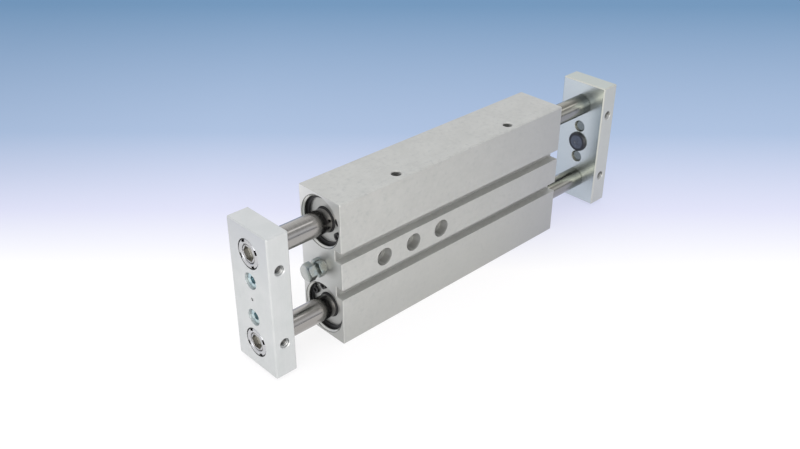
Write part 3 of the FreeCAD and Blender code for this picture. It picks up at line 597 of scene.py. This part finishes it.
def ground_rod():
    """Hard, ground and polished steel with the fine marks that grinding leaves round it."""
    made = Finish("ground_rod", colours().rod, 1.0)
    made.rounded(sizes().edge_radius)
    rings = made.noise(0.12 * MM, 3, 0.6, (1, 0.02, 0.02))
    wander = made.noise(14 * MM, 2, 0.5)
    x, _, z = made.parts()
    reach = made.reach()
    made.vary(rings, 0.93, 1.07)
    made.tint(made.ranged(wander, 0.35, 0.65, 0.0, 0.4), (1.08, 1.04, 1.0))
    # Painted shade: the rods are darker and warmer towards the rear.
    made.tint(made.step(x, 0.0, 0, 20), (0.95, 0.95, 0.87))
    # Painted dark reflection: the rods are dark where they enter the rear plate, the upper one more.
    dark_reflection = made.step(x, PLATES_MIDDLE + PLATES_INNER, -13, -4)
    share = made.ranged(z, HOUSING_MIDDLE.z - MM, HOUSING_MIDDLE.z + MM, 0.65, 0.93)
    made.tint(made.times(dark_reflection, share), (0.17, 0.195, 0.22))
    # Their ends are bright round a dull recess.
    end = made.times(made.step(reach, PLATES_REACH, -4, -3.9), made.faces(0))
    outer = made.step(reach, PLATES_REACH, -1.2, -1.1)
    made.paint(end, made.mixed(outer, colours().rod_recess, colours().nut))
    made.raise_by(rings, 0.004 * MM)
    made.feed(made.shader.inputs["Metallic"], made.but(made.times(end, made.but(outer), 0.7)))
    return made.done(made.maths("ADD", made.spread(rings, 0.15, 0.23), made.times(end, 0.25)))


def zinc_plating(name, colour):
    """Zinc with the faint blue and yellow cast of its passivation."""
    made = Finish(name, colour, 0.95)
    edges = made.rounded(sizes().edge_radius / 2)
    cast = made.noise(2.4 * MM, 3, 0.6)
    grain = made.noise(0.12 * MM, 2, 0.6)
    made.vary(cast, (0.86, 0.98, 1.04), (1.06, 1.04, 0.94))
    # Painted highlight on the rounded edges.
    made.tint(made.times(edges, 0.6), 1.4)
    # Painted shade: the tips of the plate screws, down in their holes, are dark.
    reach = made.reach()
    tip = made.times(made.step(reach, PLATES_REACH, -7, -7.5),
                     made.step(reach, PLATES_REACH, -10, -9.9), 0.9)
    made.paint(tip, (0.19, 0.21, 0.19))
    # The stop screw's front face is made lighter.
    made.tint(made.step(made.apart(made.parts()[0], STOP_FACE), 0.0, 0.4, 0.25), 1.25)
    made.raise_by(grain, 0.01 * MM)
    return made.done(made.spread(grain, 0.2, 0.32))


def turned_steel():
    """Bright steel with rings about the rod's axis from turning."""
    made = Finish("turned_steel", colours().nut, 0.9)
    edges = made.rounded(sizes().edge_radius / 2)
    rings = made.turned_rings(0.16 * MM)
    patches = made.noise(1.5 * MM, 3, 0.6)
    made.vary(patches, 0.92, 1.05)
    # Painted highlight on the rounded edges.
    made.tint(made.times(edges, 0.6), 1.3)
    # Painted shade: the walls of the notches are black.
    off = made.from_rod_axis()
    notch = made.times(made.step(off, NOTCH_FLOOR, -0.1, 0.1), made.but(made.faces(0)))
    made.paint(made.times(notch, made.step(off, NUT_RADIUS, -0.33, -0.36)), (0.01, 0.01, 0.012))
    made.raise_by(rings, 0.004 * MM)
    return made.done(made.spread(patches, 0.22, 0.34))


def blackened_spring():
    """Black phosphated spring steel with worn edges."""
    made = Finish("blackened_spring", colours().spring, 0.6)
    edges = made.rounded(sizes().edge_radius / 2)
    grain = made.noise(0.15 * MM, 3, 0.6)
    made.vary(grain, 0.7, 1.5)
    made.paint(made.times(edges, 0.5), (0.16, 0.165, 0.17))
    made.raise_by(grain, 0.008 * MM)
    return made.done(made.spread(grain, 0.34, 0.5))


def seal_rubber():
    """Matt rubber with a faint moulded skin."""
    made = Finish("seal_rubber", colours().rubber, 0.0)
    grain = made.noise(0.25 * MM, 3, 0.6)
    dust = made.noise(1.8 * MM, 3, 0.6)
    made.tint(made.ranged(dust, 0.4, 0.8, 0.0, 0.5), 2.4)
    made.raise_by(grain, 0.012 * MM)
    return made.done(made.spread(grain, 0.5, 0.66))


def bumper_polymer():
    """Moulded polymer, slightly glossy, with a fine spark-eroded texture and a dark rim."""
    made = Finish("bumper_polymer", colours().bumper, 0.0)
    grain = made.noise(0.18 * MM, 3, 0.6)
    scuff = made.noise(1.2 * MM, 4, 0.65)
    made.tint(made.ranged(scuff, 0.45, 0.75), 1.9)
    made.tint(made.step(made.from_line(0.0, HOUSING_MIDDLE.z), BUMPER_RADIUS, -1.7, -1.4), 0.22)
    made.raise_by(grain, 0.014 * MM, 0.6)
    return made.done(made.spread(scuff, 0.34, 0.5))


def turned_aluminium():
    """Aluminium turned on a lathe, with rings about the rod's axis and painted shade in its mouth."""
    made = Finish("turned_aluminium", colours().cap, 0.75)
    edges = made.rounded(sizes().edge_radius / 2)
    rings = made.turned_rings(0.22 * MM)
    patches = made.noise(3 * MM, 3, 0.6)
    made.vary(patches, 0.94, 1.05)
    # Painted highlight on the rounded edges.
    made.tint(made.times(edges, 0.5), 1.3)
    # Painted shade: the walls of a cap's mouth, round the rod, are darker.
    mouth = made.step(made.from_rod_axis(), CAP_MOUTH, 0.2, 0)
    made.tint(made.times(made.but(made.faces(0)), mouth), (0.3, 0.34, 0.37))
    made.raise_by(rings, 0.006 * MM)
    return made.done(made.spread(patches, 0.28, 0.4))


def sintered_bronze():
    """Porous bronze: fine dark pores in a dull yellow-brown metal."""
    made = Finish("sintered_bronze", colours().bush, 0.85)
    pores = made.noise(0.16 * MM, 3, 0.7)
    made.tone = made.mixed(made.ranged(pores, 0.35, 0.6), made.shade(0.45), made.shade(1.1))
    made.raise_by(pores, 0.02 * MM, 0.6)
    return made.done(made.spread(pores, 0.4, 0.55))


def bonded_magnet():
    """Dark powder pressed in a binder."""
    made = Finish("bonded_magnet", colours().magnet, 0.2)
    grain = made.noise(0.3 * MM, 4, 0.7)
    made.vary(grain, 0.7, 1.7)
    made.raise_by(grain, 0.015 * MM, 0.6)
    return made.done(made.spread(grain, 0.5, 0.65))


def give_finish(finish, *names):
    """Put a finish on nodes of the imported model."""
    for name in names:
        for slot in NODES[name].material_slots:
            slot.material = finish


def at_bores(stem):
    """The four nodes of a kind, one for each end and level."""
    return [f"{stem}_{end}_{level}" for end in ENDS for level in LEVELS]


# Shapes

def rim_of(points):
    """The edges that join a set of points into a ring."""
    chosen = set(points)
    return [edge for edge in {edge for point in points for edge in point.link_edges}
            if edge.verts[0] in chosen and edge.verts[1] in chosen]


def ring(shape, x, radius, centre):
    """A ring of points about the X direction. Returns its edges."""
    turn = Matrix.Translation((x, centre.y, centre.z)) @ Matrix.Rotation(math.pi / 2, 4, "Y")
    made = bmesh.ops.create_circle(shape, cap_ends=False, segments=RIM_POINTS, radius=radius,
                                   matrix=turn)
    return rim_of(made["verts"])


def points_of(edges):
    return list({point for edge in edges for point in edge.verts})


def hexagon_ring(shape, x, across, centre):
    """A ring pulled out to a hexagon whose flats are this far apart. Returns its edges."""
    edges = ring(shape, x, across / 2, centre)
    sixth = math.tau / 6
    for point in points_of(edges):
        off = Vector((point.co.y - centre.y, point.co.z - centre.z))
        angle = math.atan2(off.y, off.x) % sixth - sixth / 2
        off *= 1 / math.cos(angle)
        point.co.y, point.co.z = centre.y + off.x, centre.z + off.y
    return edges


def trim_to_cone(edges, centre, face_radius, inward):
    """Move a hexagon's corners back along X as a cone from the face would cut them."""
    for point in points_of(edges):
        reach = math.hypot(point.co.y - centre.y, point.co.z - centre.z)
        point.co.x += inward * max(0.0, reach - face_radius) * CORNER_SLOPE


def join(shape, *rims):
    """Faces between each rim and the next."""
    for first, second in zip(rims, rims[1:]):
        bmesh.ops.bridge_loops(shape, edges=first + second)


def close(shape, edges):
    bmesh.ops.edgeloop_fill(shape, edges=edges)


def sink(shape, edges, by):
    """Extrude a rim by a step and return the new rim."""
    made = bmesh.ops.extrude_edge_only(shape, edges=edges)["geom"]
    points = [item for item in made if isinstance(item, bmesh.types.BMVert)]
    bmesh.ops.translate(shape, verts=points, vec=by)
    return rim_of(points)


def threaded_shank(shape, start, end, centre, crest, root, pitch):
    """A screw thread along X, open at both ends. Returns its first and last rim."""
    turns = math.ceil((end - start) / pitch) + 2
    # A turn has a flat root, a flank that rises to a narrow crest, and another that falls.
    outline = ((0, root), (pitch / 4, root), (pitch * 9 / 16, crest), (pitch * 11 / 16, crest))
    points = []
    for turn in range(turns):
        for along, radius in outline:
            x = start + (turn - 1) * pitch + along
            points.append(shape.verts.new((x, centre.y, centre.z + radius)))
    line = [shape.edges.new(pair) for pair in zip(points, points[1:])]
    bmesh.ops.spin(shape, geom=points + line, cent=centre, axis=(1, 0, 0), angle=math.tau,
                   dvec=(pitch / THREAD_STEPS, 0, 0), steps=THREAD_STEPS, use_merge=False)
    bmesh.ops.remove_doubles(shape, verts=shape.verts, dist=MERGE)
    for x, facing in ((start, -1), (end, 1)):
        everything = shape.verts[:] + shape.edges[:] + shape.faces[:]
        bmesh.ops.bisect_plane(shape, geom=everything, dist=MERGE / 10, plane_co=(x, 0, 0),
                               plane_no=(facing, 0, 0), clear_outer=True)
    return [[edge for edge in shape.edges if edge.is_boundary
             and all(abs(point.co.x - x) < MERGE for point in edge.verts)] for x in (start, end)]


def taper(points, centre, x, radius):
    """Keep points inside a 45 degree cone that starts at x with this radius."""
    for point in points:
        off = Vector((0, point.co.y - centre.y, point.co.z - centre.z))
        limit = radius + abs(point.co.x - x)
        if off.length > limit:
            off *= limit / off.length
            point.co.y, point.co.z = centre.y + off.y, centre.z + off.z


def inner_thread(shape, mouth, direction, depth, height):
    """A helical ridge on a hole's wall, from near its mouth inwards along a direction."""
    radius, pitch = sizes().port_radius, sizes().fine_pitch
    turns = math.floor(depth / pitch)
    steps = THREAD_STEPS * turns
    half = pitch * 0.42
    tip = pitch * 0.1
    buried = radius + 0.02 * MM
    crest = radius - height
    corners = ((-half, buried), (half, buried), (tip, crest), (-tip, crest))
    before = set(shape.verts)
    points = [shape.verts.new((half + along, 0, reach)) for along, reach in corners]
    loop = [shape.edges.new(pair) for pair in zip(points, points[1:] + points[:1])]
    made = bmesh.ops.spin(shape, geom=points + loop, cent=(0, 0, 0), axis=(1, 0, 0), steps=steps,
                          angle=math.tau * turns, dvec=(pitch * turns / steps, 0, 0), use_merge=False)
    last = [item for item in made["geom_last"] if isinstance(item, bmesh.types.BMEdge)]
    close(shape, loop)
    close(shape, last)
    turn = Vector((1, 0, 0)).rotation_difference(Vector(direction)).to_matrix().to_4x4()
    fresh = [point for point in shape.verts if point not in before]
    bmesh.ops.transform(shape, matrix=Matrix.Translation(mouth) @ turn, verts=fresh)


def mesh_of(name, shape, finish):
    """A mesh with a finish, from a bmesh that is freed."""
    mesh = bpy.data.meshes.new(name)
    shape.to_mesh(mesh)
    shape.free()
    mesh.materials.append(finish)
    return mesh


def placed(name, data):
    """A new object in the scene."""
    made = bpy.data.objects.new(name, data)
    bpy.context.scene.collection.objects.link(made)
    return made


def finished_piece(name, shape, finish, body, replaced=(), bevel=True):
    """Turn a bmesh into a piece of the object that rides on a body."""
    bmesh.ops.remove_doubles(shape, verts=shape.verts, dist=MERGE)
    bmesh.ops.recalc_face_normals(shape, faces=shape.faces)
    if not all(edge.is_manifold for edge in shape.edges):
        raise RuntimeError(f"{name} has an open seam")
    mesh = mesh_of(name, shape, finish)
    mesh.shade_smooth()
    mesh.set_sharp_from_angle(angle=SHARP)
    piece = placed(name, mesh)
    if bevel:
        broken = piece.modifiers.new("broken_edges", "BEVEL")
        broken.width = sizes().bevel_width
        broken.segments = 2
        broken.limit_method = "ANGLE"
        broken.angle_limit = SHARP
        broken.harden_normals = True
    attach(piece, body)
    if replaced:
        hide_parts(*replaced)


# Operators

class PieceOperator(bpy.types.Operator):
    """Finish one group of pieces"""

    bl_options = {"REGISTER", "UNDO"}


class CYLINDER_OT_housing(PieceOperator):
    """Finish the housing"""

    bl_idname = "cylinder.housing"
    bl_label = "Housing"

    def execute(self, context):
        give_finish(anodised_extrusion(), "housing")
        return {"FINISHED"}


class CYLINDER_OT_port_threads(PieceOperator):
    """Cut the threads of the two air ports"""

    bl_idname = "cylinder.port_threads"
    bl_label = "Air port threads"

    def execute(self, context):
        wanted = sizes()
        finish = bpy.data.materials["anodised_extrusion"]
        places = (HOUSING_LOW.x + wanted.port_inset, HOUSING_HIGH.x - wanted.port_inset)
        for end, x in zip(ENDS, places):
            shape = bmesh.new()
            mouth = Vector((x, -wanted.port_offset, HOUSING_HIGH.z - wanted.thread_lead_in))
            depth = wanted.port_depth - wanted.thread_lead_in
            inner_thread(shape, mouth, (0, 0, -1), depth, PORT_RIDGE)
            finished_piece(f"port_thread_{end}", shape, finish, "cylinder",
                           bevel=False)
        return {"FINISHED"}


class CYLINDER_OT_bore_ends(PieceOperator):
    """Finish the caps, bushes, circlips, wipers and seals in the ends of the bores"""

    bl_idname = "cylinder.bore_ends"
    bl_label = "Bore ends"

    def execute(self, context):
        rubber = seal_rubber()
        give_finish(turned_aluminium(), *at_bores("bearing_cap"))
        give_finish(sintered_bronze(), *at_bores("guide_bush"))
        give_finish(blackened_spring(), *at_bores("circlip"))
        for stem in ("wiper", "rod_seal", "cap_seal_ring"):
            give_finish(rubber, *at_bores(stem))
        return {"FINISHED"}


class CYLINDER_OT_rods(PieceOperator):
    """Finish the rods, the pistons and what the pistons carry"""

    bl_idname = "cylinder.rods"
    bl_label = "Rods and pistons"

    def execute(self, context):
        rod = ground_rod()
        magnet = bonded_magnet()
        for level in LEVELS:
            give_finish(rod, f"piston_rod_{level}")
            give_finish(bpy.data.materials["turned_aluminium"], f"piston_{level}")
            give_finish(magnet, f"piston_magnet_{level}")
            give_finish(bpy.data.materials["seal_rubber"], f"piston_seals_{level}",
                        f"piston_inner_ring_{level}")
            give_finish(bpy.data.materials["blackened_spring"], f"piston_clips_{level}")
        return {"FINISHED"}


class CYLINDER_OT_end_plates(PieceOperator):
    """Finish the end plates, their nuts and their bumpers"""

    bl_idname = "cylinder.end_plates"
    bl_label = "End plates"

    def execute(self, context):
        plate = satin_plate()
        bumper = bumper_polymer()
        give_finish(turned_steel(), *at_bores("rod_nut"))
        for end in ENDS:
            give_finish(plate, f"yoke_plate_{end}")
            give_finish(bumper, f"bumper_{end}")
        return {"FINISHED"}


class CYLINDER_OT_side_threads(PieceOperator):
    """Cut the threads in the end plates' sides"""

    bl_idname = "cylinder.side_threads"
    bl_label = "Side threads"

    def execute(self, context):
        wanted = sizes()
        finish = bpy.data.materials["satin_plate"]
        for end in ENDS:
            shape = bmesh.new()
            centre = middle(f"yoke_plate_{end}")
            half = extent(f"yoke_plate_{end}").y / 2 - wanted.thread_lead_in
            for side in (-1, 1):
                for level in (-1, 1):
                    height = centre.z + level * wanted.side_thread_spacing / 2
                    mouth = Vector((centre.x, side * half, height))
                    inner_thread(shape, mouth, (0, -side, 0), wanted.side_thread_depth, SIDE_RIDGE)
            finished_piece(f"side_threads_{end}", shape, finish, "rod_assembly",
                           bevel=False)
        return {"FINISHED"}


class CYLINDER_OT_plate_screws(PieceOperator):
    """Make the socket head screws in the end plates, and finish the passage plugs"""

    bl_idname = "cylinder.plate_screws"
    bl_label = "Plate screws"

    def execute(self, context):
        finish = zinc_plating("zinc_plating", colours().zinc)
        give_finish(finish, "passage_plugs")
        for node in at_bores("plate_screw"):
            outward = -1 if "front" in node else 1
            self.make_screw(node, outward, finish)
        return {"FINISHED"}

    def make_screw(self, node, outward, finish):
        wanted = sizes()
        low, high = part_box(node)
        centre = middle(node)
        radius = extent(node).z / 2
        crest = wanted.plate_screw_shank
        root = crest - wanted.plate_screw_pitch * 0.5
        face, tip = (low.x, high.x) if outward < 0 else (high.x, low.x)
        under_head = face - outward * wanted.plate_screw_head_height
        shape = bmesh.new()
        start, end = sorted((under_head, tip))
        rims = threaded_shank(shape, start, end, centre, crest, root, wanted.plate_screw_pitch)
        taper(shape.verts, centre, tip, root - 0.1 * MM)
        near, far = rims if outward < 0 else reversed(rims)
        round_over = 0.4 * MM
        chamfer = 0.15 * MM
        base = ring(shape, under_head, radius, centre)
        side = ring(shape, face - outward * round_over, radius, centre)
        rim = ring(shape, face, radius - round_over, centre)
        bevelled = ring(shape, face, wanted.plate_screw_socket * 0.62, centre)
        socket = hexagon_ring(shape, face - outward * chamfer, wanted.plate_screw_socket, centre)
        join(shape, near, base, side, rim, bevelled, socket)
        close(shape, sink(shape, socket, (-outward * wanted.plate_screw_socket_depth, 0, 0)))
        close(shape, far)
        name = node.replace("plate", "socket")
        finished_piece(name, shape, finish, "rod_assembly", [node])


class CYLINDER_OT_stop_screw(PieceOperator):
    """Make the hexagon head stop screw and its lock nut"""

    bl_idname = "cylinder.stop_screw"
    bl_label = "Stop screw and nut"

    def execute(self, context):
        finish = zinc_plating("dull_zinc", colours().dull_zinc)
        self.make_screw(finish)
        self.make_nut(finish)
        return {"FINISHED"}

    def make_screw(self, finish):
        wanted = sizes()
        low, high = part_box("stop_screw")
        centre = middle("stop_screw")
        across = extent("stop_screw").z
        face_radius = across / 2 * wanted.hex_face_share
        under_head = low.x + wanted.stop_head_height
        crest = wanted.stop_shank_radius
        root = crest - wanted.stop_thread_pitch * 0.55
        shape = bmesh.new()
        first, last = threaded_shank(shape, under_head, high.x, centre, crest, root,
                                     wanted.stop_thread_pitch)
        taper(shape.verts, centre, high.x, root)
        close(shape, last)
        face = ring(shape, low.x, face_radius, centre)
        corners = hexagon_ring(shape, low.x, across, centre)
        trim_to_cone(corners, centre, face_radius, 1)
        base = hexagon_ring(shape, under_head, across, centre)
        collar = ring(shape, under_head, crest * 1.2, centre)
        close(shape, face)
        join(shape, face, corners, base, collar, first)
        finished_piece("hex_stop_screw", shape, finish, "stop_adjuster",
                       ["stop_screw"])

    def make_nut(self, finish):
        wanted = sizes()
        low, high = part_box("stop_lock_nut")
        centre = middle("stop_lock_nut")
        across = extent("stop_lock_nut").z
        face_radius = across / 2 * wanted.hex_face_share
        hole = wanted.stop_shank_radius + 0.05 * MM
        countersink = 0.3 * MM
        shape = bmesh.new()
        rims = []
        for x, inward in ((low.x, 1), (high.x, -1)):
            bore = ring(shape, x + inward * countersink, hole, centre)
            mouth = ring(shape, x, hole + countersink, centre)
            face = ring(shape, x, face_radius, centre)
            corners = hexagon_ring(shape, x, across, centre)
            trim_to_cone(corners, centre, face_radius, inward)
            join(shape, bore, mouth, face, corners)
            rims.append((bore, corners))
        join(shape, rims[0][0], rims[1][0])
        join(shape, rims[0][1], rims[1][1])
        finished_piece("hex_lock_nut", shape, finish, "lock_nut", ["stop_lock_nut"])


class CYLINDER_OT_studio(PieceOperator):
    """Set up the floor, the light and the camera"""

    bl_idname = "cylinder.studio"
    bl_label = "Studio"

    def execute(self, context):
        self.make_floor()
        self.make_room(context.scene)
        self.make_lamps()
        self.make_camera(context.scene)
        context.scene.view_settings.view_transform = "Standard"
        return {"FINISHED"}

    def make_floor(self):
        wanted = studio()
        finish = Finish("studio_floor", wanted.floor_near, 0.0)
        away = Matrix.Rotation(wanted.camera_turn[2], 2) @ Vector((0, 1))
        depth = self.along(finish, away.x, away.y)
        bands = ((0.0, 0.056, wanted.floor_middle), (0.056, 0.15, wanted.floor_back),
                 (0.15, 0.4, wanted.floor_far))
        for start, end, colour in bands:
            finish.paint(finish.ranged(depth, start, end), colour)
        # The floor is a little darker on the camera's left.
        left = finish.ranged(self.along(finish, away.y, -away.x), -0.12, -0.3)
        behind = finish.ranged(depth, 0.0, 0.1)
        finish.paint(finish.times(left, behind, 0.17), (0.1, 0.2, 0.35))
        finish.shader.inputs["Specular IOR Level"].default_value = 0.1
        material = finish.done(0.9)
        self.even_out(finish, wanted.floor_glow)
        shape = bmesh.new()
        bmesh.ops.create_circle(shape, cap_ends=True, segments=FLOOR_POINTS,
                                radius=wanted.floor_size)
        bmesh.ops.translate(shape, verts=shape.verts, vec=(0, 0, CAD_LOW.z - FLOOR_GAP))
        floor = placed("studio_floor", mesh_of("studio_floor", shape, material))

    def along(self, finish, x_share, y_share):
        """How far a place lies along a level direction."""
        x, y = finish.parts()[:2]
        return finish.maths("ADD", finish.times(x, x_share), finish.times(y, y_share))

    def even_out(self, finish, share):
        """Show part of the tone at strength 1, unshaded, to the camera and in reflections."""
        rays = finish.node("ShaderNodeLightPath").outputs
        seen = finish.maths("MAXIMUM", rays["Is Camera Ray"], rays["Is Glossy Ray"])
        seen = finish.maths("MAXIMUM", seen, rays["Is Transmission Ray"])
        glow = finish.node("ShaderNodeEmission")
        finish.feed(glow.inputs["Color"], finish.tone)
        blend = finish.node("ShaderNodeMixShader")
        finish.feed(blend.inputs[0], finish.times(seen, share))
        finish.feed(blend.inputs[1], finish.shader.outputs[0])
        finish.feed(blend.inputs[2], glow.outputs[0])
        finish.feed(finish.tree.nodes["Material Output"].inputs["Surface"], blend.outputs[0])

    def make_room(self, scene):
        """Light from all around, with light and dark strips at the rear that the rods mirror."""
        scene.world = bpy.data.worlds.new("studio_room")
        scene.world.use_nodes = True
        room = Nodes(scene.world.node_tree)
        light = room.tree.nodes["Background"]
        light.inputs["Strength"].default_value = studio().world_strength
        x, y, z = room.split(room.node("ShaderNodeTexCoord").outputs["Generated"])
        sky = room.ramp(z, ((0.0, (0.76, 0.78, 0.85)), (0.7, (1, 1, 1))))
        # The strips run along X. Each stop is an angle about X in degrees, and a brightness.
        strips = ((0, 1.1), (60, 1.1), (78, 0.7), (100, 0.4), (106, 0.6), (110, 1.9), (118, 1.9),
                  (123, 0.5), (140, 0.6), (152, 1.25), (166, 1.25), (174, 0.4), (180, 0.4))
        angle = room.maths("DIVIDE", room.maths("ARCTAN2", z, y), math.pi)
        # A ramp ends at 1, so the brightness is halved in it and doubled after it.
        stops = [(degrees / 180, (level / 2,) * 3) for degrees, level in strips]
        doubled = room.node("ShaderNodeVectorMath", operation="SCALE")
        room.feed(doubled.inputs[0], room.ramp(angle, stops))
        doubled.inputs["Scale"].default_value = 2.0
        rear = room.ranged(x, 0.3, 0.5)
        room.feed(light.inputs["Color"], room.mixed(rear, sky, doubled.outputs[0], "MULTIPLY"))

    def make_lamps(self):
        centre = (CAD_LOW + CAD_HIGH) / 2
        white, warm = (1, 1, 1), (1, 0.94, 0.87)
        lamps = (
            ("key_lamp", (-0.75, -0.35, 0.35), 0.5, 1.8, white),
            ("low_lamp", (-0.34, -0.44, 0.12), 0.3, 1.15, warm),
            ("top_lamp", (0.0, 0.0, 0.9), 0.6, 1.5, white),
            ("back_lamp", (0.2, 0.8, 0.5), 0.5, 0.2, white),
        )
        for name, place, width, watts, colour in lamps:
            lamp = bpy.data.lights.new(name, "AREA")
            lamp.shape = "SQUARE"
            lamp.size = width
            lamp.color = colour
            lamp.energy = watts * studio().lamp_strength / 100
            holder = placed(name, lamp)
            holder.location = place
            holder.rotation_euler = (centre - Vector(place)).to_track_quat("-Z", "Y").to_euler()

    def make_camera(self, scene):
        wanted = studio()
        lens = bpy.data.cameras.new("photo_camera")
        lens.sensor_width = 36
        lens.lens = wanted.camera_lens
        lens.clip_start = 0.01
        scene.camera = placed("photo_camera", lens)
        scene.camera.location = wanted.camera_place
        scene.camera.rotation_euler = wanted.camera_turn


PIECE_OPERATORS = (
    CYLINDER_OT_housing,
    CYLINDER_OT_port_threads,
    CYLINDER_OT_bore_ends,
    CYLINDER_OT_rods,
    CYLINDER_OT_end_plates,
    CYLINDER_OT_side_threads,
    CYLINDER_OT_plate_screws,
    CYLINDER_OT_stop_screw,
    CYLINDER_OT_studio,
)


class CYLINDER_PT_sidebar(bpy.types.Panel):
    """Lists the steps that finish the cylinder"""

    bl_label = "Guided Cylinder"
    bl_idname = "CYLINDER_PT_sidebar"
    bl_space_type = "VIEW_3D"
    bl_region_type = "UI"
    bl_category = "Cylinder"

    def draw(self, context):
        column = self.layout.column(align=True)
        for operator in PIECE_OPERATORS:
            column.operator(operator.bl_idname)


GROUPS = (
    (FinishColours, "cylinder_colours"),
    (DetailSizes, "cylinder_sizes"),
    (StudioSettings, "cylinder_studio"),
)


def register():
    for group, name in GROUPS:
        bpy.utils.register_class(group)
        setattr(bpy.types.Scene, name, PointerProperty(type=group))
    for operator in PIECE_OPERATORS:
        bpy.utils.register_class(operator)
    bpy.utils.register_class(CYLINDER_PT_sidebar)


def unregister():
    bpy.utils.unregister_class(CYLINDER_PT_sidebar)
    for operator in reversed(PIECE_OPERATORS):
        bpy.utils.unregister_class(operator)
    for group, name in reversed(GROUPS):
        delattr(bpy.types.Scene, name)
        bpy.utils.unregister_class(group)


def main():
    """Finish every piece and set up the studio."""
    register()
    bpy.ops.cylinder.housing()
    bpy.ops.cylinder.port_threads()
    bpy.ops.cylinder.bore_ends()
    bpy.ops.cylinder.rods()
    bpy.ops.cylinder.end_plates()
    bpy.ops.cylinder.side_threads()
    bpy.ops.cylinder.plate_screws()
    bpy.ops.cylinder.stop_screw()
    bpy.ops.cylinder.studio()


if __name__ == "__main__":
    main()
